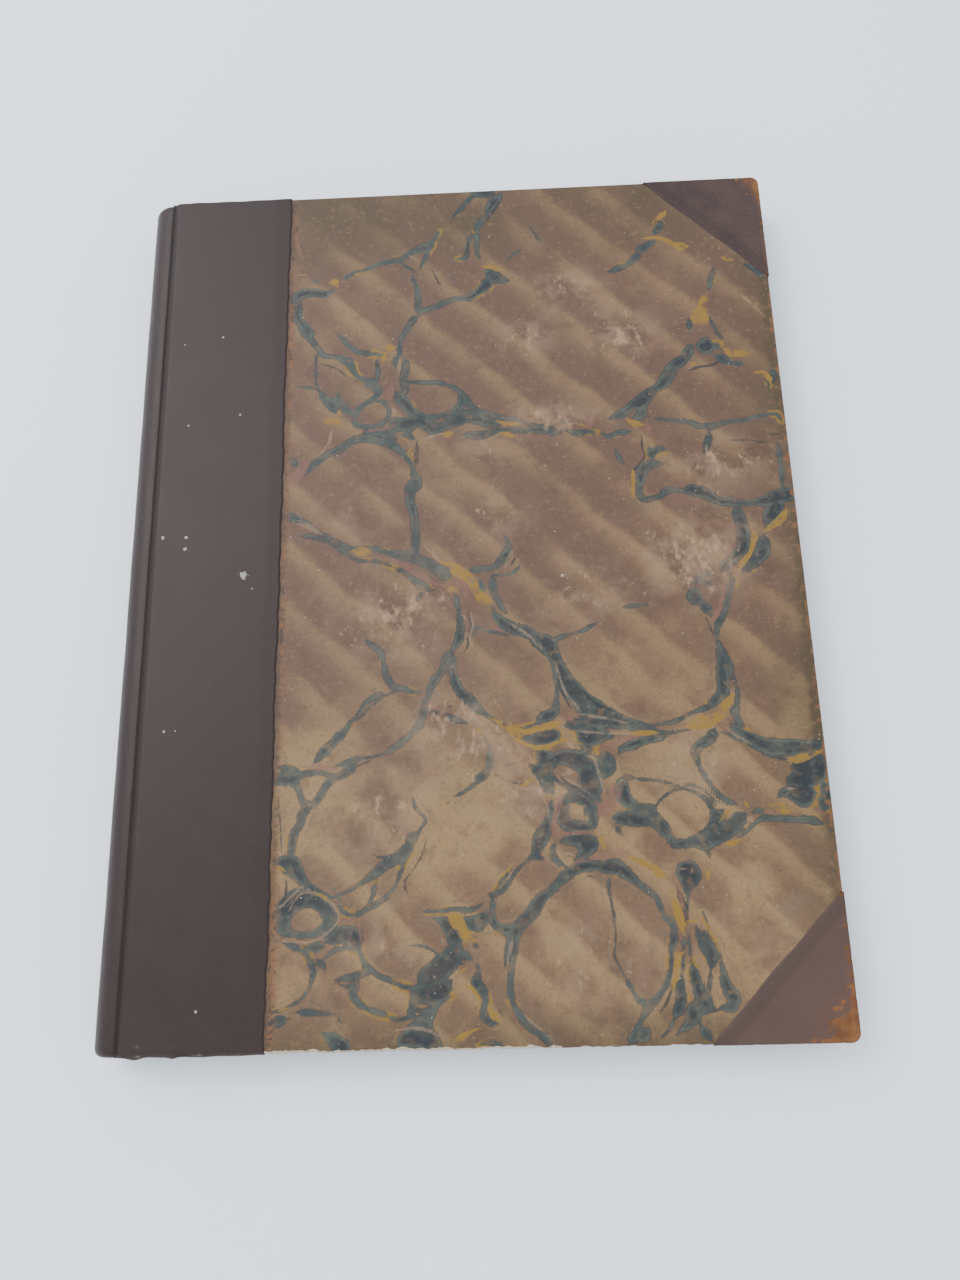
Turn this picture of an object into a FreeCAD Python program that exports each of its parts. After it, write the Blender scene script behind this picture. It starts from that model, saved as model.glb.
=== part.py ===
import FreeCAD, Part
import math
import os

import Sketcher

# The book lies closed on its back cover. X runs from the spine to the fore edge, Y from the
# tail to the head and Z up. The origin is under the middle of the book, on the rest plane.

document = FreeCAD.newDocument("HalfLeatherBook")
sheet = document.addObject("Spreadsheet::Sheet", "Sizes")

# Driving dimensions in millimetres
SIZES = (
    ("cover_height", 240.0, "head to tail over the leather"),
    ("cover_reach", 175.0, "joint crease to fore edge"),
    ("total_thickness", 14.0, "outside of one cover to outside of the other"),
    ("spine_depth", 7.5, "joint crease to the back of the rounded spine"),
    ("board_thickness", 2.3, "pasteboard of each cover"),
    ("side_leather_thickness", 0.6, "leather over the boards"),
    ("side_paper_thickness", 0.3, "marbled paper over the boards"),
    ("turn_in_thickness", 0.3, "pared covering turned in round the board edges"),
    ("turn_in_width", 15.0, "reach of the turn-ins on the inside of a board"),
    ("endpaper_thickness", 0.2, "pastedown or flyleaf"),
    ("pastedown_margin", 3.5, "bare turn-in round the pastedown"),
    ("flap_width", 36.0, "spine leather on each board, from the joint crease"),
    ("corner_across", 34.0, "corner leather along the head or tail edge"),
    ("corner_along", 34.0, "corner leather along the fore edge"),
    ("corner_round", 2.0, "radius of the worn board corners"),
    ("square_width", 3.0, "board edge beyond the pages"),
    ("joint_gap", 0.4, "joint crease to the board, and to the spine work"),
    ("cover_gap", 0.1, "pastedown to flyleaf in the closed book"),
    ("shoulder_drop", 0.4, "ends of the spine leather below the cover faces"),
    ("spine_leather_thickness", 0.8, "leather over the spine"),
    ("lining_thickness", 0.4, "cloth and paper glued over the sewn back"),
    ("fore_edge_dip", 2.5, "hollow of the fore edge"),
    ("cap_thickness", 0.8, "leather folded over the ends of the spine"),
    ("cap_reach", 2.2, "headcap from the back of the spine inwards"),
    ("endband_radius", 0.7, "worked core at head and tail"),
    ("endband_gap", 0.05, "endband to the pages and to the lining"),
    ("cord_depth", 1.2, "sewing cord across the back, radially"),
    ("cord_width", 1.4, "sewing cord along the back"),
    ("kerf_gap", 0.1, "sawn kerf round a sewing cord"),
    ("cord_pitch", 45.0, "one sewing cord to the next"),
)
CORDS = 5

for row, (alias, value, meaning) in enumerate(SIZES, start=1):
    sheet.set(f"A{row}", str(value))
    sheet.setAlias(f"A{row}", alias)
    sheet.set(f"B{row}", meaning)
document.recompute()

# Places that follow from the sizes
JOINT = "((Sizes.spine_depth - Sizes.cover_reach) / 2)"
FORE = "((Sizes.spine_depth + Sizes.cover_reach) / 2)"
HALF_HEIGHT = "(Sizes.cover_height / 2)"
MIDDLE = "(Sizes.total_thickness / 2)"
BOARD_START = f"({JOINT} + Sizes.joint_gap)"
SPINE_START = f"({JOINT} - Sizes.joint_gap)"
SEAM = f"({JOINT} + Sizes.flap_width)"
PAGE_FORE = f"({FORE} - Sizes.square_width)"
PAGE_HALF = f"({HALF_HEIGHT} - Sizes.square_width)"
TURN_IN_FORE = f"({FORE} - Sizes.turn_in_width)"
TURN_IN_HALF = f"({HALF_HEIGHT} - Sizes.turn_in_width)"

# Depths of a cover's layers, measured inwards from its outer face
BOARD_TOP = "Sizes.side_leather_thickness"
PAPER_TOP = "(Sizes.side_leather_thickness - Sizes.side_paper_thickness)"
BOARD_BASE = "(Sizes.side_leather_thickness + Sizes.board_thickness)"
TURN_IN_BASE = f"({BOARD_BASE} + Sizes.turn_in_thickness)"
PASTEDOWN_BASE = f"({TURN_IN_BASE} + Sizes.endpaper_thickness)"
FLYLEAF_TOP = f"({PASTEDOWN_BASE} + Sizes.cover_gap)"
FLYLEAF_BASE = f"({FLYLEAF_TOP} + Sizes.endpaper_thickness)"

# The rounded back is one circle, seen along Y, with each layer inside the last
BACK_CHORD = f"({MIDDLE} - Sizes.shoulder_drop)"
BACK_RISE = "(Sizes.spine_depth - Sizes.joint_gap)"
BACK_RADIUS = f"(({BACK_CHORD} ^ 2 + {BACK_RISE} ^ 2) / (2 * {BACK_RISE}))"
BACK_CENTRE = f"({JOINT} - Sizes.spine_depth + {BACK_RADIUS})"
LINING_RADIUS = f"({BACK_RADIUS} - Sizes.spine_leather_thickness)"
SEWN_RADIUS = f"({LINING_RADIUS} - Sizes.lining_thickness)"

pieces = {}


def number(expression):
    """Value of an expression over the sheet."""
    return float(sheet.evalExpression(expression))


def keep(name, item):
    """Give a finished sub-part its label and list it."""
    item.Label = name
    pieces[name] = item
    return item


def level(side, depth):
    """Height of a layer that lies at a depth inside one cover's outer face."""
    return f"(Sizes.total_thickness - {depth})" if side == "front" else depth


def new_body(name):
    """Empty body for one piece."""
    return document.addObject("PartDesign::Body", name)


def new_sketch(body, role, offset="0"):
    """Sketch on one of the body's own planes, moved along the plane's normal."""
    sketch = body.newObject("Sketcher::SketchObject", f"{body.Name}Sketch")
    plane = next(item for item in body.Origin.OriginFeatures if item.Role == role)
    sketch.AttachmentSupport = [(plane, "")]
    sketch.MapMode = "FlatFace"
    sketch.setExpression("AttachmentOffset.Base.z", offset)
    return sketch


def bind(sketch, kind, *where, to):
    """Constraint whose value follows an expression."""
    index = sketch.addConstraint(Sketcher.Constraint(kind, *where, number(to)))
    sketch.setExpression(f"Constraints[{index}]", to)


def fix_point(sketch, edge, end, across, up):
    """Hold one end of an edge at a place worked out from the sizes."""
    bind(sketch, "DistanceX", -1, 1, edge, end, to=across)
    bind(sketch, "DistanceY", -1, 1, edge, end, to=up)


def add_line(sketch, start, end):
    """Straight edge between two places."""
    ends = (FreeCAD.Vector(*(number(value) for value in place), 0) for place in (start, end))
    return sketch.addGeometry(Part.LineSegment(*ends), False)


def join(sketch, first, first_end, second, second_end):
    """Make two edge ends one point."""
    sketch.addConstraint(Sketcher.Constraint("Coincident", first, first_end, second, second_end))


def add_polygon(sketch, places):
    """Closed outline of straight edges with every corner bound to the sizes."""
    count = len(places)
    edges = [add_line(sketch, places[i], places[(i + 1) % count]) for i in range(count)]
    for i, edge in enumerate(edges):
        join(sketch, edge, 2, edges[(i + 1) % count], 1)
        fix_point(sketch, edge, 1, *places[i])


def add_back_arc(sketch, radius):
    """Arc round the back of the book, from the upper shoulder to the lower one."""
    reach = number(SPINE_START) - number(BACK_CENTRE)
    size = number(radius)
    opening = math.acos(reach / size)
    centre = FreeCAD.Vector(number(BACK_CENTRE), number(MIDDLE), 0)
    circle = Part.Circle(centre, FreeCAD.Vector(0, 0, 1), size)
    arc = sketch.addGeometry(Part.ArcOfCircle(circle, opening, 2 * math.pi - opening), False)
    fix_point(sketch, arc, 3, BACK_CENTRE, MIDDLE)
    bind(sketch, "Radius", arc, to=radius)
    for end in (1, 2):
        bind(sketch, "DistanceX", -1, 1, arc, end, to=SPINE_START)
    return arc


def add_back_ring(sketch, outer, inner):
    """Closed strip that follows the rounded back between two radii."""
    arcs = [add_back_arc(sketch, radius) for radius in (outer, inner)]
    for end in (1, 2):
        places = [sketch.getPoint(arc, end) for arc in arcs]
        edge = sketch.addGeometry(Part.LineSegment(*places), False)
        for line_end, arc in enumerate(arcs, start=1):
            join(sketch, edge, line_end, arc, end)


def pad(body, sketch, length, symmetric=False):
    """Pad of a sketch along its own normal."""
    feature = body.newObject("PartDesign::Pad", f"{body.Name}Pad")
    feature.Profile = sketch
    feature.SideType = "Symmetric" if symmetric else "One side"
    feature.setExpression("Length", length)
    sketch.Visibility = False
    return feature


def add_plate(body, side, near, far, places):
    """Flat layer of a cover between two depths, with a polygon as its plan."""
    base = level(side, far if side == "front" else near)
    sketch = new_sketch(body, "XY_Plane", base)
    add_polygon(sketch, places)
    return pad(body, sketch, f"{far} - {near}")


def rectangle(left, right, half):
    """Corners of a plan that reaches equally far to the head and the tail."""
    return [(left, f"-{half}"), (right, f"-{half}"), (right, half), (left, half)]


def round_fore_corners(body, feature, radius):
    """Fillet the two upright edges of a plate at the fore edge."""
    document.recompute()
    reach = feature.Shape.BoundBox.XMax
    edges = []
    for index, edge in enumerate(feature.Shape.Edges, start=1):
        box = edge.BoundBox
        if box.XMin > reach - 0.01 and box.YLength < 0.01:
            edges.append(f"Edge{index}")
    fillet = body.newObject("PartDesign::Fillet", f"{body.Name}Fillet")
    fillet.Base = (feature, edges)
    fillet.setExpression("Radius", radius)


def boolean(kind, name, base, tool):
    """Part boolean of two shapes."""
    result = document.addObject(f"Part::{kind}", name)
    result.Base = base
    result.Tool = tool
    return result


# Pages, sewing and spine

def make_page_blank():
    """Pages with a rounded, backed spine, raised shoulders and a hollow fore edge."""
    body = new_body("PageBlank")
    sketch = new_sketch(body, "XZ_Plane")
    top = f"(Sizes.total_thickness - {FLYLEAF_BASE})"
    back = add_back_arc(sketch, SEWN_RADIUS)
    half = f"({MIDDLE} - {FLYLEAF_BASE})"
    hollow = f"(({half} ^ 2 + Sizes.fore_edge_dip ^ 2) / (2 * Sizes.fore_edge_dip))"
    faces = []
    for end, face in ((1, top), (2, FLYLEAF_BASE)):
        shoulder = sketch.addGeometry(
            Part.LineSegment(
                sketch.getPoint(back, end),
                FreeCAD.Vector(number(SPINE_START), number(face), 0),
            ),
            False,
        )
        page = add_line(sketch, (SPINE_START, face), (PAGE_FORE, face))
        join(sketch, shoulder, 1, back, end)
        join(sketch, shoulder, 2, page, 1)
        fix_point(sketch, page, 1, SPINE_START, face)
        fix_point(sketch, page, 2, PAGE_FORE, face)
        faces.append(page)
    size = number(hollow)
    centre = FreeCAD.Vector(
        number(f"{PAGE_FORE} - Sizes.fore_edge_dip + {hollow}"), number(MIDDLE), 0
    )
    opening = math.asin(number(half) / size)
    circle = Part.Circle(centre, FreeCAD.Vector(0, 0, 1), size)
    arc = sketch.addGeometry(
        Part.ArcOfCircle(circle, math.pi - opening, math.pi + opening), False
    )
    for end, page in enumerate(faces, start=1):
        join(sketch, arc, end, page, 2)
    bind(sketch, "Radius", arc, to=hollow)
    pad(body, sketch, f"2 * {PAGE_HALF}", symmetric=True)
    return body


def make_back_strips(name, outer, inner, width):
    """One short strip round the back at each sewing station."""
    strips = []
    for station in range(CORDS):
        body = new_body(f"{name}{station + 1}")
        sketch = new_sketch(body, "XZ_Plane")
        add_back_ring(sketch, outer, inner)
        pad(body, sketch, width, symmetric=True)
        steps = station - (CORDS - 1) / 2
        body.setExpression("Placement.Base.y", f"{steps} * Sizes.cord_pitch")
        strips.append(body)
    group = document.addObject("Part::Compound", f"{name}Group")
    group.Links = strips
    return group


def make_text_block():
    """Sewn pages, with the kerfs that hold the sewing cords flush with the back."""
    kerf_floor = f"({SEWN_RADIUS} - Sizes.cord_depth - 2 * Sizes.kerf_gap)"
    kerfs = make_back_strips(
        "Kerf", LINING_RADIUS, kerf_floor, "Sizes.cord_width + 2 * Sizes.kerf_gap"
    )
    keep("text_block", boolean("Cut", "TextBlock", make_page_blank(), kerfs))
    cord_top = f"({SEWN_RADIUS} - Sizes.kerf_gap)"
    cord_floor = f"({cord_top} - Sizes.cord_depth)"
    keep("sewing_cords", make_back_strips("Cord", cord_top, cord_floor, "Sizes.cord_width"))


def make_lining():
    """Cloth and paper glued over the sewn back."""
    body = new_body("Lining")
    sketch = new_sketch(body, "XZ_Plane")
    add_back_ring(sketch, LINING_RADIUS, SEWN_RADIUS)
    pad(body, sketch, f"2 * {PAGE_HALF}", symmetric=True)
    keep("spine_lining", body)


def make_spine_leather():
    """Leather round the back, folded in over both ends as caps."""
    body = new_body("SpineLeather")
    sketch = new_sketch(body, "XZ_Plane")
    add_back_ring(sketch, BACK_RADIUS, LINING_RADIUS)
    pad(body, sketch, "Sizes.cover_height", symmetric=True)
    for start in (f"-{HALF_HEIGHT}", f"{HALF_HEIGHT} - Sizes.cap_thickness"):
        cap = new_sketch(body, "XZ_Plane", start)
        add_back_ring(cap, BACK_RADIUS, f"({BACK_RADIUS} - Sizes.cap_reach)")
        pad(body, cap, "Sizes.cap_thickness")
    keep("spine_leather", body)


def make_endbands():
    """Half-round cores on the ends of the pages, just inside the lining."""
    upright = FreeCAD.Rotation(
        FreeCAD.Vector(0, 0, 1), FreeCAD.Vector(-1, 0, 0), FreeCAD.Vector(0, -1, 0), "XYZ"
    )
    rise = f"({PAGE_HALF} + Sizes.endband_radius + Sizes.endband_gap)"
    for name, place in (("head_endband", rise), ("tail_endband", f"-{rise}")):
        band = document.addObject("Part::Torus", "Endband")
        band.Angle3 = 180
        band.setExpression("Radius2", "Sizes.endband_radius")
        band.setExpression(
            "Radius1", f"{SEWN_RADIUS} - Sizes.endband_radius - Sizes.endband_gap"
        )
        band.Placement = FreeCAD.Placement(FreeCAD.Vector(), upright)
        band.setExpression("Placement.Base.x", BACK_CENTRE)
        band.setExpression("Placement.Base.y", place)
        band.setExpression("Placement.Base.z", MIDDLE)
        keep(name, band)


def make_flyleaf(side):
    """Free endpaper between the pages and one cover."""
    body = new_body("Flyleaf")
    plan = rectangle(SPINE_START, PAGE_FORE, PAGE_HALF)
    add_plate(body, side, FLYLEAF_TOP, FLYLEAF_BASE, plan)
    keep(f"{side}_flyleaf", body)


# Covers

def make_board(side):
    """Pasteboard inside one cover, with worn round corners at the fore edge."""
    body = new_body("Board")
    plan = rectangle(
        BOARD_START,
        f"({FORE} - Sizes.side_leather_thickness)",
        f"({HALF_HEIGHT} - Sizes.side_leather_thickness)",
    )
    plate = add_plate(body, side, BOARD_TOP, BOARD_BASE, plan)
    round_fore_corners(body, plate, "Sizes.corner_round")
    return keep(f"{side}_board", body)


def make_envelope(side, top, reach, half):
    """Space that a covering of one thickness takes up all round the board."""
    body = new_body("Envelope")
    return body, add_plate(body, side, top, TURN_IN_BASE, rectangle(BOARD_START, reach, half))


def make_covering(name, side, envelope, board, window, plan):
    """Covering within one plan: outer face, board edges and turn-ins as one sheet."""
    region = new_body("Region")
    add_plate(region, side, "0", TURN_IN_BASE, plan)
    blank = boolean("Common", "Blank", envelope, region)
    sleeve = boolean("Cut", "Sleeve", blank, board)
    keep(name, boolean("Cut", "Covering", sleeve, window))


def corner_plan(end):
    """Plan of a corner leather at the head (end 1) or the tail (end -1)."""
    edge = f"({end} * {HALF_HEIGHT})"
    foot = f"({end} * ({HALF_HEIGHT} - Sizes.corner_along))"
    return [(FORE, edge), (f"({FORE} - Sizes.corner_across)", edge), (FORE, foot)]


def paper_plan():
    """Plan of the marbled paper, from the leather seam round both corner leathers."""
    across = f"({FORE} - Sizes.corner_across)"
    along = f"({HALF_HEIGHT} - Sizes.corner_along)"
    return [
        (SEAM, f"-{HALF_HEIGHT}"),
        (across, f"-{HALF_HEIGHT}"),
        (FORE, f"-{along}"),
        (FORE, along),
        (across, HALF_HEIGHT),
        (SEAM, HALF_HEIGHT),
    ]


def make_pastedown(side):
    """Endpaper glued to the board: it fills the space within the turn-ins and laps them."""
    body = new_body("Pastedown")
    inside = rectangle(BOARD_START, TURN_IN_FORE, TURN_IN_HALF)
    add_plate(body, side, BOARD_BASE, TURN_IN_BASE, inside)
    edge = f"({FORE} - Sizes.pastedown_margin)"
    whole = rectangle(BOARD_START, edge, f"({HALF_HEIGHT} - Sizes.pastedown_margin)")
    add_plate(body, side, TURN_IN_BASE, PASTEDOWN_BASE, whole)
    keep(f"{side}_pastedown", body)


def make_cover(side):
    """Board of one cover with everything that is glued to it."""
    board = make_board(side)
    window = new_body("Window")
    inside = rectangle(JOINT, TURN_IN_FORE, TURN_IN_HALF)
    add_plate(window, side, BOARD_BASE, TURN_IN_BASE, inside)
    leather, plate = make_envelope(side, "0", FORE, HALF_HEIGHT)
    round_fore_corners(leather, plate, "Sizes.corner_round + Sizes.side_leather_thickness")
    paper, _ = make_envelope(
        side, PAPER_TOP, f"({FORE} - {PAPER_TOP})", f"({HALF_HEIGHT} - {PAPER_TOP})"
    )
    flap = rectangle(BOARD_START, SEAM, HALF_HEIGHT)
    make_covering(f"{side}_side_leather", side, leather, board, window, flap)
    make_covering(f"{side}_head_corner", side, leather, board, window, corner_plan(1))
    make_covering(f"{side}_tail_corner", side, leather, board, window, corner_plan(-1))
    make_covering(f"{side}_marbled_paper", side, paper, board, window, paper_plan())
    make_pastedown(side)


def check_document():
    """Stop if any object failed or any piece has no sound shape."""
    document.recompute()
    for item in document.Objects:
        if {"Invalid", "Error"} & set(item.State):
            raise RuntimeError(f"{item.Name} failed: {item.State}")
    for name, item in pieces.items():
        if item.Shape.isNull() or not item.Shape.isValid():
            raise RuntimeError(f"{name} has no valid shape")


make_text_block()
make_lining()
make_spine_leather()
make_endbands()
for cover_side in ("front", "back"):
    make_flyleaf(cover_side)
    make_cover(cover_side)
check_document()

os.makedirs("parts", exist_ok=True)
for piece_name, piece in pieces.items():
    piece.Shape.exportStep(f"parts/{piece_name}.step")
    print(piece_name, len(piece.Shape.Solids), round(piece.Shape.Volume, 2))
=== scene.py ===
"""A half-leather hardback book with marbled sides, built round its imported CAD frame.

Lengths in this file are millimetres. BOOK holds the sizes that the CAD gives, and put_in_mesh turns them into
metres. Scales of noise are spots per metre.
"""
import logging
from dataclasses import dataclass, field
from enum import Enum
from typing import Callable, Mapping, Sequence

import bmesh
import bpy
import numpy as np
from bpy.types import Material, Node, NodeSocket, NodeTree, Object
from mathutils import Matrix, Vector


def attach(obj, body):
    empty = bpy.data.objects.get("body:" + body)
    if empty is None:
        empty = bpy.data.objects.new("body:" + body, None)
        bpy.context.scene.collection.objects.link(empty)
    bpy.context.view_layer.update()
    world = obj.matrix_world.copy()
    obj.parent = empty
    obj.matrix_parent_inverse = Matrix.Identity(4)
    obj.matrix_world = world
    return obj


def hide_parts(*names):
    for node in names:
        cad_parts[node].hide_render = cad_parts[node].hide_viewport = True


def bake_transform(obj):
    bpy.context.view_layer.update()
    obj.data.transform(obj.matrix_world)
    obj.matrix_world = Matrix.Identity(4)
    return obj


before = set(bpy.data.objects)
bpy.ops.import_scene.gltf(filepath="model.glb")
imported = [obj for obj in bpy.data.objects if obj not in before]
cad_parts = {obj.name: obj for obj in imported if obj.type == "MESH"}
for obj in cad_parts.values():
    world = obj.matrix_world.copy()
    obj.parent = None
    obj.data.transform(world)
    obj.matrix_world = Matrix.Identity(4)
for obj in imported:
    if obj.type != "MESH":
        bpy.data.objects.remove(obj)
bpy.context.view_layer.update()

log = logging.getLogger("hardback_book")
# A millimetre in metres, and the diagonal of a square over its side.
MM = 0.001
DIAGONAL = 1.414
NOISE_ROUGHNESS = 0.6
# A leather without chips is this many chips' radii away from one.
FAR_FROM_CHIPS = 9.0
# Plain endpaper, clean and browned.
PAPER_TONES = ((0.62, 0.53, 0.37), (0.50, 0.39, 0.24))
Grid = np.ndarray
Triple = tuple[float, float, float]


@dataclass(frozen=True)
class BookSizes:
    """The sizes that every piece shares, as the CAD has them."""

    thickness: float = 14.0
    half_height: float = 120.0
    fore_edge: float = 91.25
    joint: float = -83.75
    board_start: float = -83.35
    seam: float = -47.75
    back_radius: float = 6.618
    back_centre: float = -84.632
    cover_depth: float = 3.2
    leather_thickness: float = 0.6
    paper_depth: float = 0.3
    page_half_height: float = 117.0
    page_reach: float = 88.25
    page_half_thickness: float = 3.3
    board_round: float = 0.75
    corner_size: float = 34.0
    corner_round: float = 2.4

    @property
    def middle(self) -> float:
        """Height of the middle of the pages."""
        return self.thickness / 2


BOOK = BookSizes()


class Side(Enum):
    """Which cover a piece belongs to, with the sign that its face has along z."""

    FRONT = 1
    BACK = -1

    @property
    def word(self) -> str:
        """The word that starts the names of this cover's nodes."""
        return "front" if self is Side.FRONT else "back"

    @property
    def body(self) -> str:
        """The CAD body of this cover."""
        return f"{self.word}_cover"

    def height(self, depth: Grid | float) -> Grid | float:
        """Height of a point that lies depth below this cover's outer face."""
        return BOOK.middle + self.value * (BOOK.middle - depth)


class End(Enum):
    """Head or tail of the book, with its sign along y."""

    HEAD = 1
    TAIL = -1

    @property
    def word(self) -> str:
        """The word that the names of this end's nodes hold."""
        return "head" if self is End.HEAD else "tail"


def smooth(t: Grid) -> Grid:
    """Smoothstep of t, held between 0 and 1: three t squared less two t cubed."""
    t = np.clip(t, 0.0, 1.0)
    return t * t * (3.0 - 2.0 * t)


def bell(x: Grid, middle: float, width: float) -> Grid:
    """A bell round middle: e to the minus of the square of the distance over the width."""
    return np.exp(-(((x - middle) / width) ** 2))


def dimmed(colour: Triple, share: float) -> Triple:
    """A colour with each part multiplied by share."""
    return tuple(share * v for v in colour)


def both_ways(half: Grid) -> Grid:
    """A path that starts in the middle, joined to its own mirror image."""
    return np.concatenate([-half[:0:-1], half])


def wavy(at: Grid, seed: int, lengths: Sequence[float]) -> Grid:
    """A smooth random line between about -1 and 1.

    It is the mean of sines, one for each wave length, whose phases come from the seed.

    Args:
        at: places along the line, in millimetres.
        seed: picks the phases.
        lengths: wave lengths in millimetres.

    Returns:
        One value for each place.
    """
    phases = np.random.default_rng(seed).uniform(0.0, 2.0 * np.pi, len(lengths))
    return sum(np.sin(2.0 * np.pi * at / w + p) for w, p in zip(lengths, phases)) / len(lengths)


def grid_faces(rows: int, columns: int, start: int = 0, turn_over: bool = False) -> Grid:
    """Four-sided faces of a grid of points, row after row.

    Args:
        rows: number of rows of points.
        columns: number of points in a row.
        start: index of the grid's first point.
        turn_over: puts the faces the other way round.

    Returns:
        One row of four indices for each face.
    """
    index = start + np.arange(rows * columns).reshape(rows, columns)
    a, b, c, d = index[:-1, :-1], index[:-1, 1:], index[1:, 1:], index[1:, :-1]
    faces = np.stack([a, b, c, d], -1).reshape(-1, 4)
    return faces[:, ::-1] if turn_over else faces


def rim_faces(rows: int, columns: int, far: int, turn_over: bool = False) -> Grid:
    """Faces that close the rim between two like grids, the second of which starts at index far."""
    index = np.arange(rows * columns).reshape(rows, columns)
    ring = np.concatenate([index[0, :-1], index[:-1, -1], index[-1, :0:-1], index[:0:-1, 0]])
    after = np.roll(ring, -1)
    faces = np.stack([ring, ring + far, after + far, after], -1)
    return faces[:, ::-1] if turn_over else faces


def spread(x: Grid, y: Grid, z: Grid) -> Grid:
    """Points on the last axis, from places along x, y and z that are spread to one common shape."""
    return np.stack(np.broadcast_arrays(x, y, z), -1)


def put_in_mesh(name: str, points: Grid, faces: Grid, material: Material,
                fields: dict[str, Grid] | None = None, shaded: bool = True) -> Object:
    """Makes a mesh object from points in millimetres.

    Args:
        name: the piece's name.
        points: one row of x, y, z for each point.
        faces: one row of four indices for each face.
        material: the finish of the whole piece.
        fields: float attributes, one value or one x, y, z row for each point.
        shaded: whether the faces are shaded smooth.

    Returns:
        The new object, linked to the scene, at the origin.
    """
    mesh = bpy.data.meshes.new(name)
    mesh.vertices.add(len(points))
    mesh.vertices.foreach_set("co", (np.asarray(points, np.float32) * MM).ravel())
    mesh.loops.add(faces.size)
    mesh.loops.foreach_set("vertex_index", faces.ravel().astype(np.int32))
    mesh.polygons.add(len(faces))
    mesh.polygons.foreach_set("loop_start", np.arange(0, faces.size, faces.shape[1], dtype=np.int32))
    mesh.polygons.foreach_set("use_smooth", np.full(len(faces), shaded))
    mesh.update(calc_edges=True)
    for key, values in (fields or {}).items():
        kind, slot = ("FLOAT", "value") if values.ndim == 1 else ("FLOAT_VECTOR", "vector")
        mesh.attributes.new(key, kind, "POINT").data.foreach_set(slot, values.astype(np.float32).ravel())
    mesh.materials.append(material)
    piece = bpy.data.objects.new(name, mesh)
    bpy.context.scene.collection.objects.link(piece)
    log.info("%s: %d faces", name, len(faces))
    return piece


def shell(name: str, outer: Grid, inner: Grid, material: Material,
          fields: dict[str, Grid] | None = None, turn_over: bool = False) -> Object:
    """A closed sheet between two grids of points, joined along their rims.

    Args:
        name: the piece's name.
        outer: rows, columns and x, y, z of the outer face.
        inner: the same for the inner face.
        material: the finish.
        fields: attributes given on the outer grid and repeated on the inner one.
        turn_over: puts the faces the other way round.

    Returns:
        The new object.
    """
    rows, columns = outer.shape[:2]
    count = rows * columns
    faces = np.concatenate([
        grid_faces(rows, columns, 0, turn_over),
        grid_faces(rows, columns, count, not turn_over),
        rim_faces(rows, columns, count, turn_over),
    ])
    both = {k: np.concatenate([v.reshape(count, *v.shape[2:])] * 2) for k, v in (fields or {}).items()}
    points = np.concatenate([outer.reshape(-1, 3), inner.reshape(-1, 3)])
    return put_in_mesh(name, points, faces, material, both)


def edge_wrap(reach: float, depth: float, edge: float, turn_in: float, radius: float,
              round_steps: int = 5, flat: Sequence[float] = ()) -> tuple[Grid, Grid, Grid]:
    """Path of a covering round the edge of a board, from its outer face to the end of its turn-in.

    The path runs straight over the face, by a quarter circle down to the edge, straight down the edge, by a
    quarter circle to the inner face, and straight back for the turn-in.

    Args:
        reach: place of the edge, in millimetres from the middle.
        depth: depth of the covering's outer surface below the cover's outer face.
        edge: depth of the covering's surface on the inner face.
        turn_in: length of the turn-in.
        radius: radius of both rounded arrises.
        round_steps: number of steps in each quarter circle.
        flat: places on the face before the first quarter circle, in rising order.

    Returns:
        Place, depth and unfolded place of each point of the path.
    """
    a = np.linspace(0.0, np.pi / 2, round_steps + 1)
    place = [np.asarray(flat, float), reach - radius + radius * np.sin(a)]
    down = [np.full(len(flat), depth), depth + radius - radius * np.cos(a)]
    place += [reach - radius + radius * np.cos(a), reach - radius - np.linspace(0.0, turn_in, 6)[1:]]
    down += [edge - radius + radius * np.sin(a), np.full(5, edge)]
    place, down = np.concatenate(place), np.concatenate(down)
    steps = np.hypot(np.diff(place), np.diff(down))
    first = place[0]
    return place, down, first + np.concatenate([[0.0], np.cumsum(steps)])


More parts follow.
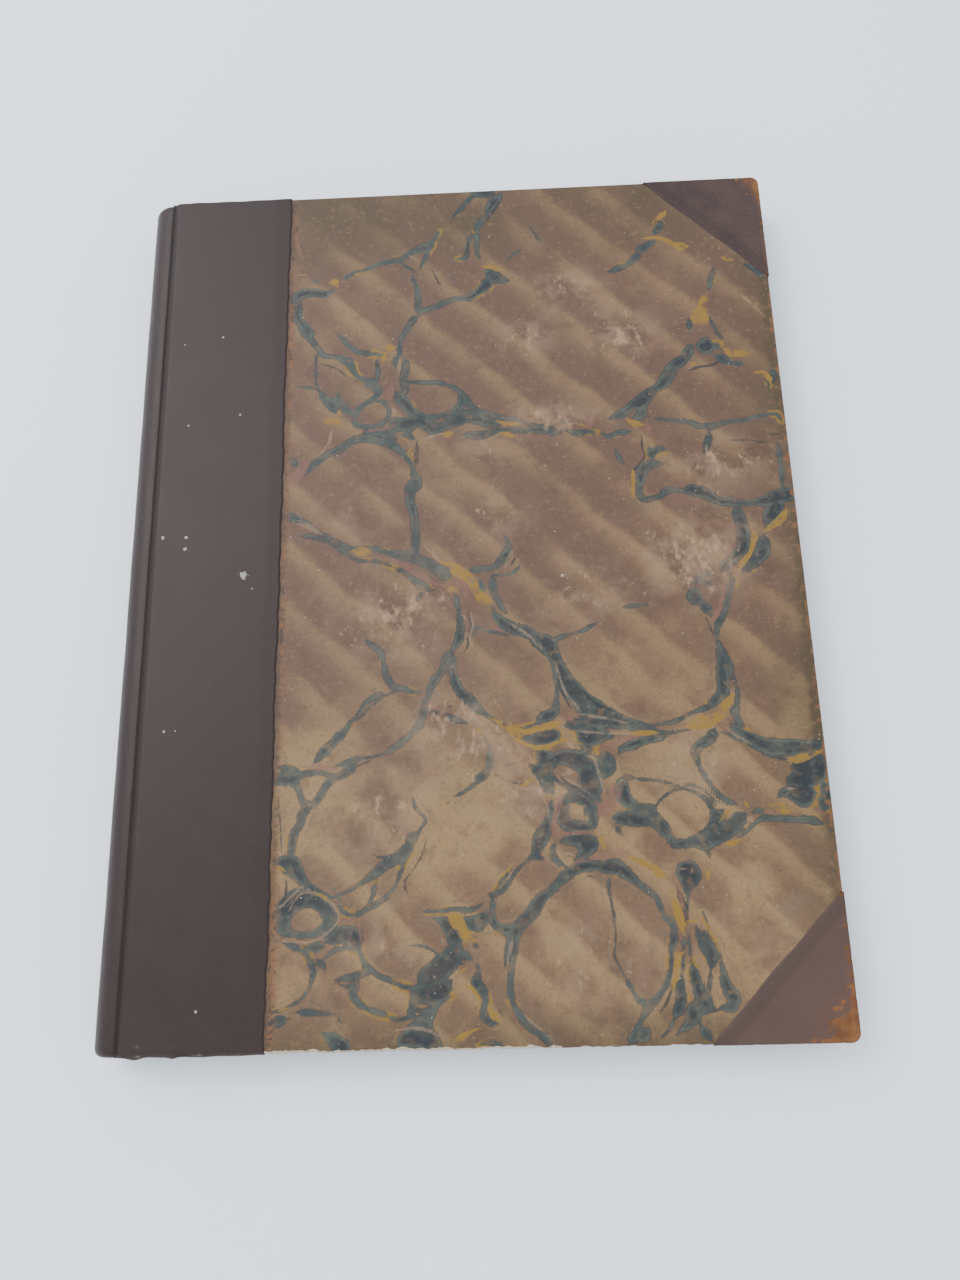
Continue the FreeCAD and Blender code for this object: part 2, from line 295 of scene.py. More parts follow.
class Shader:
    """A short way to make and join the nodes of a material or a node group."""

    def __init__(self, tree: NodeTree) -> None:
        """Starts on an empty node tree."""
        self.tree = tree
        tree.nodes.clear()

    def feed(self, socket: NodeSocket, value: object) -> None:
        """Joins an output to a socket, or sets its constant."""
        if isinstance(value, NodeSocket):
            self.tree.links.new(value, socket)
        elif socket.type == "RGBA" and len(value) == 3:
            socket.default_value = (*value, 1.0)
        else:
            socket.default_value = value

    def add(self, kind: str, inputs: dict[object, object] | None = None,
            **settings: object) -> Node:
        """Adds a node.

        Args:
            kind: Blender's name for it, without its ShaderNode prefix.
            inputs: constants or outputs for its sockets, by name or number.
            settings: the node's own options.

        Returns:
            The new node.
        """
        node = self.tree.nodes.new(f"ShaderNode{kind}")
        for key, value in settings.items():
            setattr(node, key, value)
        for key, value in (inputs or {}).items():
            self.feed(node.inputs[key], value)
        return node

    def math(self, operation: str, *values: object, clamp: bool = False) -> NodeSocket:
        """A Math node's output."""
        return self.add("Math", dict(enumerate(values)), operation=operation, use_clamp=clamp).outputs[0]

    def times(self, first: object, second: object) -> NodeSocket:
        """The product of two values."""
        return self.math("MULTIPLY", first, second)

    def plus(self, first: object, second: object) -> NodeSocket:
        """The sum of two values."""
        return self.math("ADD", first, second)

    def step(self, value: object, low: object, high: object, top: object = 1.0) -> NodeSocket:
        """Smooth step of a value from nought at low to top at high."""
        return self.add("MapRange", {"Value": value, "From Min": low, "From Max": high, "To Max": top},
                        interpolation_type="SMOOTHSTEP").outputs[0]

    def mix(self, share: object, first: object, second: object) -> NodeSocket:
        """A colour between two colours; the numbers are the places of the Mix node's colour sockets."""
        node = self.add("Mix", data_type="RGBA", blend_type="MIX", clamp_factor=True)
        for key, value in ((0, share), (6, first), (7, second)):
            self.feed(node.inputs[key], value)
        return node.outputs[2]

    def place(self) -> NodeSocket:
        """The object coordinates, in metres."""
        return self.add("TexCoord").outputs["Object"]

    def noise(self, scale: float, detail: float = 2.0, stretch: Triple = (1.0, 1.0, 1.0),
              shift: Triple = (0.0, 0.0, 0.0), rough: float = 0.5, turn: float = 0.0) -> NodeSocket:
        """Noise on object coordinates, about 0.5 on average.

        Args:
            scale: spots per metre.
            detail: number of finer layers.
            stretch: scale of each axis.
            shift: moves the pattern, to tell one from another.
            rough: weight of the finer layers.
            turn: turns the pattern round z, in radians.

        Returns:
            The noise's value.
        """
        place = self.add("Mapping", {"Vector": self.place(), "Location": shift, "Rotation": (0.0, 0.0, turn),
                                     "Scale": stretch}).outputs[0]
        return self.cloud(place, scale, detail, rough)

    def cloud(self, place: object, scale: object, detail: object, rough: float) -> NodeSocket:
        """A noise texture's value at a place."""
        return self.add("TexNoise", {"Vector": place, "Scale": scale, "Detail": detail,
                                     "Roughness": rough}).outputs["Fac"]

    def ripple(self, *values: object, **options: object) -> NodeSocket:
        """The same noise, about nought on average."""
        return self.math("SUBTRACT", self.noise(*values, **options), 0.5)

    def group(self, tree: NodeTree, inputs: dict[str, object]) -> Node:
        """Places a shared node group with this material's own values."""
        node = self.tree.nodes.new("ShaderNodeGroup")
        node.node_tree = tree
        for key, value in inputs.items():
            self.feed(node.inputs[key], value)
        return node

    def mottle(self, scale: float, low: float, high: float, amount: float = 1.0,
               shift: Triple = (0.0, 0.0, 0.0), detail: float = 3.0) -> NodeSocket:
        """Soft spots: the shared mottle group's mask, which rises from low to high, up to amount."""
        return self.group(mottle_group(), {"Scale": scale, "Detail": detail, "Low": low, "High": high,
                                           "Amount": amount, "Shift": shift}).outputs["Mask"]

    def spotted(self, colour: object, *spots: tuple) -> NodeSocket:
        """A colour with soft spots over it; each kind is a tint and then the values of its mottle."""
        for tint, *values in spots:
            colour = self.mix(self.mottle(*values), colour, tint)
        return colour

    def patched(self, colour: object, *patches: tuple) -> NodeSocket:
        """A colour with others over it; each is a tint, a mask, and the mottle that breaks the mask up."""
        for tint, mask, *values in patches:
            colour = self.mix(self.times(mask, self.mottle(*values)), colour, tint)
        return colour

    def field(self, name: str) -> NodeSocket:
        """A float attribute's value."""
        return self.add("Attribute", attribute_name=name).outputs["Fac"]

    def bump(self, height: object, distance: float, strength: float = 1.0,
             normal: object | None = None) -> NodeSocket:
        """The normal of a bumped surface, with the distance in millimetres."""
        inputs = {"Height": height, "Distance": distance * MM, "Strength": strength}
        if normal is not None:
            inputs["Normal"] = normal
        return self.add("Bump", inputs).outputs[0]

    def surface(self, **inputs: object) -> None:
        """The Principled BSDF and the output, with sockets named by words joined with underscores."""
        made = {k.replace("_", " ").title().replace("Ior", "IOR"): v for k, v in inputs.items()}
        shader = self.add("BsdfPrincipled", made)
        output = self.add("OutputMaterial")
        self.tree.links.new(shader.outputs[0], output.inputs[0])


def new_material(name: str) -> tuple[Material, Shader]:
    """An empty node material and its Shader."""
    material = bpy.data.materials.new(name)
    material.use_nodes = True
    return material, Shader(material.node_tree)


def new_group(name: str, values: Sequence[str],
              vectors: Sequence[str] = ()) -> tuple[NodeTree, Shader, Mapping[str, NodeSocket]]:
    """An empty node group that outputs one mask.

    Args:
        name: the group's name.
        values: names of its float inputs.
        vectors: names of its vector inputs.

    Returns:
        The group, a Shader on it, and its inputs by name.
    """
    tree = bpy.data.node_groups.new(name, "ShaderNodeTree")
    for keys, kind in ((values, "Float"), (vectors, "Vector")):
        for key in keys:
            tree.interface.new_socket(key, in_out="INPUT", socket_type=f"NodeSocket{kind}")
    tree.interface.new_socket("Mask", in_out="OUTPUT", socket_type="NodeSocketFloat")
    s = Shader(tree)
    return tree, s, tree.nodes.new("NodeGroupInput").outputs


def close_group(s: Shader, result: NodeSocket) -> None:
    """Joins a group's result to its output."""
    s.tree.links.new(result, s.tree.nodes.new("NodeGroupOutput").inputs[0])


def mottle_group() -> NodeTree:
    """Soft spots of noise on object coordinates, from Low to High, up to Amount."""
    if "mottle" in bpy.data.node_groups:
        return bpy.data.node_groups["mottle"]
    tree, s, given = new_group("mottle", ("Scale", "Detail", "Low", "High", "Amount"), ("Shift",))
    place = s.add("VectorMath", {0: s.place(), 1: given["Shift"]}, operation="ADD").outputs[0]
    noise = s.cloud(place, given["Scale"], given["Detail"], NOISE_ROUGHNESS)
    close_group(s, s.step(noise, given["Low"], given["High"], given["Amount"]))
    return tree


def rubbed_group() -> NodeTree:
    """Rubbed spots: Worn, broken up by fine noise, makes a mask with hard ragged edges."""
    if "rubbed" in bpy.data.node_groups:
        return bpy.data.node_groups["rubbed"]
    tree, s, given = new_group("rubbed", ("Worn", "Scale"))
    noise = s.cloud(s.place(), given["Scale"], 5.0, NOISE_ROUGHNESS)
    broken = s.times(s.math("SUBTRACT", noise, 0.5), 1.8)
    close_group(s, s.step(s.plus(given["Worn"], broken), 0.45, 0.62))
    return tree


def ink_group() -> NodeTree:
    """The mask of one ink.

    Body is above nought inside a stroke. Line holds the distance to the nearest stroke with its sign, the
    distance, and the half-width, so that a line finer than the mesh still shows. Wobble moves both edges.
    """
    if "ink" in bpy.data.node_groups:
        return bpy.data.node_groups["ink"]
    tree, s, given = new_group("ink", ("Body", "Wobble", "Least"), ("Line",))
    whole = s.step(s.plus(given["Body"], given["Wobble"]), -0.1, 0.14)
    line = s.add("SeparateXYZ", {0: given["Line"]}).outputs
    width = s.math("MAXIMUM", line["Z"], given["Least"])
    moved = s.math("ABSOLUTE", s.plus(line["X"], s.times(given["Wobble"], 0.5)))
    thin = s.step(s.math("SUBTRACT", width, moved), -0.1, 0.12)
    near = s.step(s.math("SUBTRACT", s.plus(width, 0.6), line["Y"]), 0.0, 0.12)
    close_group(s, s.math("MAXIMUM", whole, s.times(thin, near)))
    return tree


# Chips in the front leather: x and y from the middle of the book, and radius, in millimetres.
LEATHER_CHIPS = (
    (-58.0, 0.0, 1.1), (-80.5, 11.5, 0.5), (-74.5, 11.5, 0.5), (-74.5, 8.0, 0.45), (-55.5, -4.0, 0.35),
    (-78.0, 71.0, 0.3), (-67.0, 73.0, 0.35), (-61.0, 48.0, 0.3), (-75.5, 45.0, 0.3), (-77.0, -42.0, 0.35),
    (-74.0, -42.0, 0.3), (-65.0, -110.0, 0.35),
)


@dataclass(frozen=True)
class Leather:
    """Leather with a fine grain, soft mottling and rubbed spots."""

    name: str
    dark: Triple
    light: Triple
    rubbed: Triple
    roughness: float = 0.48
    chipped: Triple = (0.24, 0.22, 0.19)
    chips: tuple[Triple, ...] = ()
    rub_scale: float = 420.0
    rubbed_dull: float = 0.25
    pore_scale: float = 2600.0
    grain_height: float = 0.035
    swell_height: float = 0.05
    specular: float = 0.24

    def make(self) -> Material:
        """The material; it reads the float attributes worn, crease (painted shade) and faded from the mesh.
        """
        material, s = new_material(self.name)
        worn = s.field("worn")
        mottle = s.mottle(90.0, 0.3, 0.7, 0.55, detail=4.0)
        colour = s.spotted(s.mix(mottle, self.dark, self.light),
                           (dimmed(self.dark, 0.6), 2300.0, 0.5, 0.7, 0.5, (3.0, 1.0, 0.0)),
                           (dimmed(self.light, 1.5), 1500.0, 0.58, 0.72, 0.6, (1.0, 5.0, 0.0)))
        colour = s.patched(colour, (dimmed(self.rubbed, 0.7), s.step(worn, 0.15, 0.8),
                                    130.0, 0.35, 0.6, 0.85, (6.0, 0.0, 0.0), 5.0))
        colour = s.mix(s.field("faded"), colour, dimmed(self.light, 1.15))
        rub = s.group(rubbed_group(), {"Worn": worn, "Scale": self.rub_scale}).outputs["Mask"]
        dirty = s.spotted(self.rubbed, (dimmed(self.rubbed, 0.45),
                                        240.0, 0.36, 0.62, 0.85, (2.0, 6.0, 0.0), 5.0))
        colour = s.mix(s.times(rub, 0.9), colour, dirty)
        # Painted shade: the leather is darkened where crease marks the joint's groove or a pared edge.
        colour = s.mix(s.times(s.field("crease"), 0.4), colour, dimmed(self.dark, 0.4))
        colour = s.mix(self.chip_mask(s), colour, self.chipped)
        pores = s.add("TexVoronoi", {"Vector": s.place(), "Scale": self.pore_scale},
                      feature="SMOOTH_F1").outputs["Distance"]
        grain = s.plus(s.times(pores, 0.7), s.noise(1500.0, 3.0))
        normal = s.bump(grain, self.grain_height, 0.55)
        normal = s.bump(s.noise(240.0, 3.0, shift=(0.0, 2.0, 0.0)), self.swell_height, 0.35, normal)
        gloss = s.plus(self.roughness, s.times(s.math("SUBTRACT", mottle, 0.5), 0.08))
        gloss = s.math("ADD", gloss, s.times(rub, self.rubbed_dull), clamp=True)
        s.surface(base_color=colour, roughness=gloss, normal=normal, specular_ior_level=self.specular)
        return material

    def chip_mask(self, s: Shader) -> NodeSocket:
        """Where the surface is chipped: within a ragged radius of one of the chips' places."""
        place, nearest = s.place(), FAR_FROM_CHIPS
        for x, y, size in self.chips:
            spot = dimmed((x, y, BOOK.thickness), MM)
            away = s.add("VectorMath", {0: place, 1: spot}, operation="DISTANCE").outputs["Value"]
            nearest = s.math("MINIMUM", nearest, s.math("DIVIDE", away, size * MM))
        return s.step(s.plus(nearest, s.times(s.ripple(1400.0, 4.0), 3.2)), 0.95, 0.75)


@dataclass(frozen=True)
class AgedPaper:
    """Plain paper that has yellowed, with foxing spots and soft fibres."""

    name: str
    colour: Triple
    browned: Triple
    foxing: float = 0.62

    def make(self) -> Material:
        """The material, all on object coordinates."""
        material, s = new_material(self.name)
        foxed = dimmed(self.browned, 0.45)
        tone = s.spotted(self.colour, (self.browned, 14.0, 0.35, 0.7),
                         (foxed, 170.0, self.foxing, self.foxing + 0.1, 0.5, (5.0, 0.0, 0.0), 2.0))
        fibres = s.noise(900.0, 4.0, stretch=(1.0, 0.35, 1.0))
        s.surface(base_color=tone, roughness=0.86, normal=s.bump(fibres, 0.03, 0.5), specular_ior_level=0.25)
        return material


@dataclass(frozen=True)
class PageEdges:
    """The cut edges of the leaves, in thin lines along the block."""

    name: str
    light: Triple
    dark: Triple

    def make(self) -> Material:
        """The material, with lines that are thin along z and long along the edge."""
        material, s = new_material(self.name)
        lines = s.noise(260.0, 3.0, stretch=(0.06, 0.06, 22.0), rough=0.7)
        tone = s.mix(s.step(lines, 0.3, 0.7), self.dark, self.light)
        tone = s.spotted(tone, (self.dark, 45.0, 0.45, 0.75, 0.45, (1.0, 4.0, 2.0), 4.0))
        s.surface(base_color=tone, roughness=0.9, normal=s.bump(lines, 0.08, 0.7), specular_ior_level=0.2)
        return material


@dataclass(frozen=True)
class Thread:
    """Silk or linen thread; a float attribute named strand picks its second colour."""

    name: str
    first: Triple
    second: Triple

    def make(self) -> Material:
        """The material."""
        material, s = new_material(self.name)
        tone = s.mix(s.step(s.field("strand"), 0.4, 0.6), self.first, self.second)
        tone = s.spotted(tone, (dimmed(self.first, 0.4), 700.0, 0.35, 0.75, 0.4))
        twist = s.bump(s.noise(2400.0, 2.0), 0.04, 0.6)
        s.surface(base_color=tone, roughness=0.6, normal=twist, sheen_weight=0.2)
        return material


@dataclass(frozen=True)
class Pasteboard:
    """Grey-brown layered board, with flecks of fibre."""

    name: str
    colour: Triple

    def make(self) -> Material:
        """The material, with layers along z."""
        material, s = new_material(self.name)
        layers = s.noise(120.0, 3.0, stretch=(0.2, 0.2, 14.0))
        tone = s.mix(s.step(layers, 0.3, 0.7), dimmed(self.colour, 0.7), self.colour)
        tone = s.spotted(tone, (dimmed(self.colour, 0.4), 1300.0, 0.66, 0.74, 0.6, (0.0, 0.0, 0.0), 2.0))
        s.surface(base_color=tone, roughness=0.92, normal=s.bump(layers, 0.1, 0.5))
        return material


@dataclass(frozen=True)
class SpineLeather:
    """The leather round the back, with its caps at the head and the tail."""

    cap_reach: float = 2.4
    cap_turn: float = 2.0
    cap_fall: float = 0.75
    lip: float = 0.45
    lip_share: float = 0.6
    lip_end: float = 1.3
    join: float = -84.35
    arc_points: int = 49
    body_points: int = 179
    slack: float = 0.06
    seam_slack: float = 0.05
    fray: Triple = (0.45, -79.0, 2.2)
    end_wear: float = 0.32
    back_wear: float = 0.14

    def section(self) -> tuple[Grid, Grid]:
        """Angle round the back and the straight part beside each joint, for each column."""
        half, count = np.pi / 2, self.arc_points
        angle = np.concatenate([[half] * 2, np.linspace(half, 3 * half, count), [3 * half] * 2])
        straight = self.join - BOOK.back_centre
        along = np.concatenate([[straight, straight / 2], np.zeros(count), [straight / 2, straight]])
        return angle, along

    def ends(self) -> tuple[Grid, Grid]:
        """Place along y and loss of radius for each row, from inside the tail cap to inside the head cap.

        Each cap is a quarter ellipse from the back to the end, and then a quarter ellipse that turns in
        behind it.
        """
        a = np.linspace(0.0, np.pi / 2, 9)
        y = BOOK.half_height - self.cap_turn * (1.0 - np.sin(a))
        loss = self.cap_turn * self.cap_fall * (1.0 - np.cos(a))
        b = np.linspace(0.0, np.pi / 2, 5)[1:]
        y = np.concatenate([y, BOOK.half_height - self.lip * (1.0 - np.cos(b))])
        loss = np.concatenate([loss, loss[-1] + self.cap_reach * np.sin(b) * self.lip_share])
        y = np.append(y, BOOK.half_height - self.lip_end)
        loss = np.append(loss, loss[-1] + 0.1)
        body = np.linspace(-y[0], y[0], self.body_points + 2)[1:-1]
        return (np.concatenate([-y[::-1], body, y]),
                np.concatenate([loss[::-1], np.zeros(self.body_points), loss]))

    def surface(self, sunk: float) -> Grid:
        """Points of the leather, sunk below its outer surface.

        A point lies on a circle round the back's centre, whose radius is the back's less the cap's loss. Slow
        waves along y, no deeper than the slack, make it uneven as glued leather is.
        """
        angle, along = self.section()
        y, loss = self.ends()
        uneven = self.slack * wavy(y, 3, (61.0, 34.0, 17.0))
        radius = BOOK.back_radius - self.slack - sunk + np.minimum(uneven, self.seam_slack) - loss
        radius = radius[:, None] * np.ones(len(angle))
        seam = (np.abs(np.cos(angle)) < 1e-6)[None, :]
        radius = np.where(seam, np.minimum(radius, BOOK.back_radius - self.seam_slack - sunk), radius)
        x = BOOK.back_centre + along[None, :] + radius * np.cos(angle)
        z = BOOK.middle + radius * np.sin(angle)
        pull = np.sign(y) * np.where(np.abs(y) > BOOK.half_height - 1.5, sunk * 0.6, 0.0)
        ys = (y - pull)[:, None] * np.ones(len(angle))
        hang, middle, width = self.fray
        frays = hang * bell(x, middle, width) * (y < 1.0 - BOOK.half_height)[:, None]
        return np.stack([x, ys - frays, z], -1)

    def build(self, finish: Material) -> Object:
        """The closed piece, on the book block."""
        outer, inner = self.surface(0.0), self.surface(BOOK.leather_thickness)
        x, y = outer[..., 0], outer[..., 1]
        ends = smooth((np.abs(y) - BOOK.half_height + 1.4) / 1.4)
        worn = self.end_wear * ends + self.back_wear * smooth((-88.0 - x) / 3.0)
        # crease paints shade on the leather towards the joint's groove.
        fields = {"worn": worn, "crease": 0.5 * smooth((x + 85.0) / 0.6)}
        piece = shell("spine_leather_back", outer, inner, finish, fields, turn_over=True)
        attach(piece, "book_block")
        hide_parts("spine_leather")
        return piece


@dataclass(frozen=True)
class SideLeather:
    """The leather on the inner part of a board, over its head and tail edges and across the joint.

    A fray is how far the tail edge hangs down, and its middle and width along x. A scrape is the latter two.
    """

    side: Side
    crease_depth: float = 0.3
    crease_at: float = -83.85
    crease_width: float = 0.32
    shelf_depth: float = 0.44
    shelf_at: float = -83.45
    shelf_run: float = 1.3
    pared_depth: float = 0.12
    pared_run: float = 5.0
    turn_in: float = 12.0
    frays: tuple[Triple, ...] = ((0.7, -79.2, 1.8), (0.45, -70.2, 1.1))
    scrapes: tuple[tuple[float, float], ...] = ((-78.5, 2.6), (-70.5, 1.5))
    end_wear: float = 0.36
    back_wear: float = 0.12
    scrape_wear: float = 0.4

    def columns(self) -> Grid:
        """Places of the columns, close together over the joint."""
        near, start = np.linspace(BOOK.joint - 0.6, BOOK.joint + 1.55, 20), BOOK.joint + 2.05
        return np.concatenate([near, np.linspace(start, BOOK.seam - 0.35, 66)])

    def drop(self, x: Grid) -> Grid:
        """Depth of the leather below the cover's face.

        The face lies low over the back and rises over the board's arris by a smooth step. The crease adds a
        bell-shaped groove, and the leather is pared thin towards the seam.
        """
        shelf = self.shelf_depth * (1.0 - smooth((x - self.shelf_at) / self.shelf_run))
        groove = self.crease_depth * bell(x, self.crease_at, self.crease_width)
        pared = self.pared_depth * smooth((x - BOOK.seam + self.pared_run) / self.pared_run)
        return shelf + groove + pared

    def surface(self, sunk: float) -> tuple[Grid, Grid]:
        """Points of the leather, sunk below its outer surface, and the unfolded place along y."""
        flat = np.linspace(0.0, BOOK.half_height - BOOK.board_round - 0.4, 90)
        place, depth, along = edge_wrap(BOOK.half_height - sunk, sunk, BOOK.cover_depth - sunk, self.turn_in,
                                        BOOK.board_round - sunk * 0.5, flat=flat)
        y, t = both_ways(place), both_ways(along)
        down = np.concatenate([depth[:0:-1], depth])
        x = self.columns()
        face = 1.0 - smooth(down / 1.6)
        total = down[:, None] + face[:, None] * self.drop(x)[None, :]
        edge = BOOK.seam + 0.4 * wavy(t, 11, (90.0, 41.0, 13.0, 5.0)) - 0.25
        stretch = smooth((x + 70.0) / 22.0)
        xs = x[None, :] + stretch[None, :] * (edge - BOOK.seam)[:, None]
        ys = y[:, None] * np.ones_like(xs)
        frays = sum(hang * bell(xs, middle, width) for hang, middle, width in self.frays)
        low = smooth((-y - 118.9) / 0.8)[:, None] * smooth((2.4 - down) / 1.0)[:, None]
        rough = 0.12 * wavy(xs, 5, (31.0, 9.0)) * smooth((np.abs(y) - BOOK.half_height + 2.0) / 2)[:, None]
        ys = ys - self.side.value * frays * low * 0.8 + rough
        return np.stack([xs, ys, self.side.height(total)], -1), t

    def build(self, finish: Material) -> Object:
        """The closed piece, which runs from the back across the joint onto its cover."""
        outer, t = self.surface(0.0)
        inner, _ = self.surface(BOOK.leather_thickness * 0.8)
        x = outer[..., 0]
        ends = smooth((np.abs(outer[..., 1]) - 118.2) / 1.6)
        # Painted shade in the joint's groove, and a fainter painted shade at the board's arris.
        crease = bell(x, self.crease_at, 0.5) + 0.35 * bell(x, -83.0, 0.5)
        worn = self.end_wear * ends + self.back_wear * bell(x, -85.0, 2.0)
        scraped = sum(bell(x, middle, width) for middle, width in self.scrapes)
        worn = worn + self.scrape_wear * scraped * bell(outer[..., 1], -117.2, 0.7)
        fields = {"worn": worn, "crease": crease}
        over = self.side is Side.BACK
        piece = shell(f"{self.side.word}_leather", outer, inner, finish, fields, turn_over=over)
        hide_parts(f"{self.side.word}_side_leather")
        z = self.side.height(0.0) * MM
        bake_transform(piece)
        return piece


@dataclass(frozen=True)
class CornerLeather:
    """A leather corner at the head or the tail of a fore edge; the tail ones are more faded and worn."""

    side: Side
    end: End
    turn_in: float = 9.0
    straight_steps: int = 34
    round_steps: int = 12
    face_steps: int = 36
    lift: float = 0.02
    pared: float = 0.18
    ragged: float = 0.16
    rim_wear: float = 0.45
    tip_wear: float = 0.45
    tail_wear: float = 0.3
    tail_fading: float = 0.55
    # Strength of the painted shade along the corner's pared diagonal edge.
    crease: float = 0.5

    def outline(self, inset: float) -> Grid:
        """The cover's outline round this corner, moved inwards.

        It runs along the end, by a quarter circle round the corner, and down the fore edge.
        """
        reach, high = BOOK.fore_edge - inset, BOOK.half_height - inset
        radius = max(BOOK.corner_round - inset, 0.25)
        a = np.linspace(0.0, np.pi / 2, self.round_steps + 1)[1:-1]
        along = np.linspace(BOOK.fore_edge - BOOK.corner_size, reach - radius, self.straight_steps)
        down = np.linspace(high - radius, BOOK.half_height - BOOK.corner_size, self.straight_steps)
        x = np.concatenate([along, reach - radius + radius * np.sin(a), np.full(self.straight_steps, reach)])
        y = np.concatenate([np.full(self.straight_steps, high), high - radius + radius * np.cos(a), down])
        return np.stack([x, y], -1)

    def surface(self, sunk: float) -> Grid:
        """Points of the leather: a ruled face from diagonal to outline, then round the edge and back."""
        radius = BOOK.board_round
        a = np.linspace(0.0, np.pi / 2, 6)
        insets = np.concatenate([radius * (1 - np.sin(a)), radius * (1 - np.cos(a)),
                                 radius + np.linspace(0.0, self.turn_in, 6)[1:]]) + sunk
        depths = np.concatenate([radius * (1 - np.cos(a)), BOOK.cover_depth - radius * (1 - np.sin(a)),
                                 np.full(5, BOOK.cover_depth)])
        depths = np.clip(depths, sunk, BOOK.cover_depth - sunk)
        rings = np.stack([np.concatenate([self.outline(i), np.full((self.columns, 1), d)], -1)
                          for i, d in zip(insets, depths)])
        share = np.linspace(0.0, 1.0, self.columns)[:, None]
        first, last = rings[0, 0], rings[0, -1]
        diagonal = first + (last - first) * share
        line = share[:, 0] * BOOK.corner_size * DIAGONAL
        diagonal[:, :2] += 0.14 * wavy(line, 21 + self.end.value, (41.0, 17.0))[:, None]
        diagonal[:, 2] = sunk + self.lift
        v = np.linspace(0.0, 1.0, self.face_steps)[:-1, None, None]
        face = diagonal[None] + (rings[0][None] - diagonal[None]) * v
        face[..., 2] += self.pared * (1.0 - smooth(v[..., 0] / 0.12)) if sunk == 0.0 else 0.0
        rows = np.concatenate([face, rings])
        x, y, depth = rows[..., 0], rows[..., 1], rows[..., 2]
        worn = self.ragged * wavy(x + y, 31, (9.0, 4.0, 2.2)) * smooth((depth - 0.05) / 0.5)
        x, y = x - 0.5 * np.maximum(worn, 0), np.minimum(y + worn * 0.4, BOOK.half_height)
        return np.stack([x, self.end.value * y, self.side.height(depth)], -1)

    @property
    def columns(self) -> int:
        """Number of points along the outline."""
        return 2 * self.straight_steps + self.round_steps - 1

    def build(self, finish: Material) -> Object:
        """The closed piece, on its cover."""
        outer, inner = self.surface(0.0), self.surface(BOOK.leather_thickness * 0.75)
        x, y = outer[..., 0] - BOOK.fore_edge, np.abs(outer[..., 1]) - BOOK.half_height
        tip, tail = np.hypot(x, y), self.end is End.TAIL
        worn = self.rim_wear * smooth(np.maximum(x + 3.2, y + 2.0) / 3.4)
        worn = worn + self.tip_wear * smooth((13.0 - tip) / 11.0)
        worn = worn + (self.tail_wear * smooth((30.0 - tip) / 24.0) if tail else 0.0)
        to_diagonal = (x + y + BOOK.corner_size) / np.sqrt(2.0)
        # crease paints shade along the pared diagonal edge, where the corner steps down to the paper.
        fields = {"worn": worn, "crease": self.crease * smooth((3.6 - to_diagonal) / 1.2),
                  "faded": np.full(x.shape, self.tail_fading if tail else 0.0)}
        name = f"{self.side.word}_{self.end.word}_corner_leather"
        over = (self.side.value * self.end.value) > 0
        piece = shell(name, outer, inner, finish, fields, turn_over=not over)
        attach(piece, self.side.body)
        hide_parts(f"{self.side.word}_{self.end.word}_corner")
        return piece


@dataclass(frozen=True)
class MarbledSide:
    """The marbled paper on a board, wrapped over its head, tail and fore edges."""

    side: Side
    pitch: float = 0.62
    turn_in: float = 9.0
    under_leather: float = 1.4
    under_corner: float = 3.0
    first_bend: float = 0.3
    raggedness: float = 0.35

    def build(self, finish: Material, pattern: Callable[[Grid, Grid], dict[str, Grid]]) -> Object:
        """The sheet, with the pattern's fields on its points.

        A point's x comes from its column's path and its y from its row's path, and its depth is the larger of
        the two, so the sheet folds over one edge at a time. Faces that the corner leathers hide are left out.

        Args:
            finish: the marbled material.
            pattern: gives the fields at places on the unfolded sheet.

        Returns:
            The piece, on its cover.
        """
        depth, edge, radius = BOOK.paper_depth, BOOK.cover_depth, BOOK.board_round - 0.15
        reach, high = BOOK.fore_edge - depth, BOOK.half_height - depth
        x_flat = np.arange(BOOK.seam - self.under_leather, reach - radius - self.first_bend, self.pitch)
        x, x_down, s = edge_wrap(reach, depth, edge, self.turn_in, radius, 3, x_flat)
        y_flat = np.arange(0.0, high - radius - self.first_bend, self.pitch)
        y, y_down, t = edge_wrap(high, depth, edge, self.turn_in, radius, 3, y_flat)
        y, t, y_down = both_ways(y), both_ways(t), np.concatenate([y_down[:0:-1], y_down])
        down = np.maximum(x_down[None, :], y_down[:, None])
        s_all, t_all = np.meshgrid(s, t)
        low = smooth((-t_all - 118.4) / 1.0) * smooth((2.0 - down) / 1.2)
        torn = self.raggedness * np.maximum(wavy(s_all, 41, (23.0, 11.0, 5.3, 2.9)), -0.2) * low
        points = np.stack([np.broadcast_to(x, down.shape), y[:, None] + torn, self.side.height(down)], -1)
        rows, columns = down.shape
        faces = grid_faces(rows, columns, 0, self.side is Side.BACK)
        hidden = s_all - BOOK.fore_edge + BOOK.corner_size + np.abs(t_all) - BOOK.half_height
        hidden = hidden / np.sqrt(2.0)
        keep = (hidden < self.under_corner).reshape(-1)[faces].all(axis=1)
        faces = faces[keep]
        used, faces = np.unique(faces, return_inverse=True)
        faces = faces.reshape(-1, 4)
        fields = {k: v.reshape(-1, *v.shape[2:])[used] for k, v in pattern(s, t).items()}
        name = f"{self.side.word}_marbled_sheet"
        piece = put_in_mesh(name, points.reshape(-1, 3)[used], faces, finish, fields)
        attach(piece, self.side.body)
        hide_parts(f"{self.side.word}_marbled_paper")
        return piece


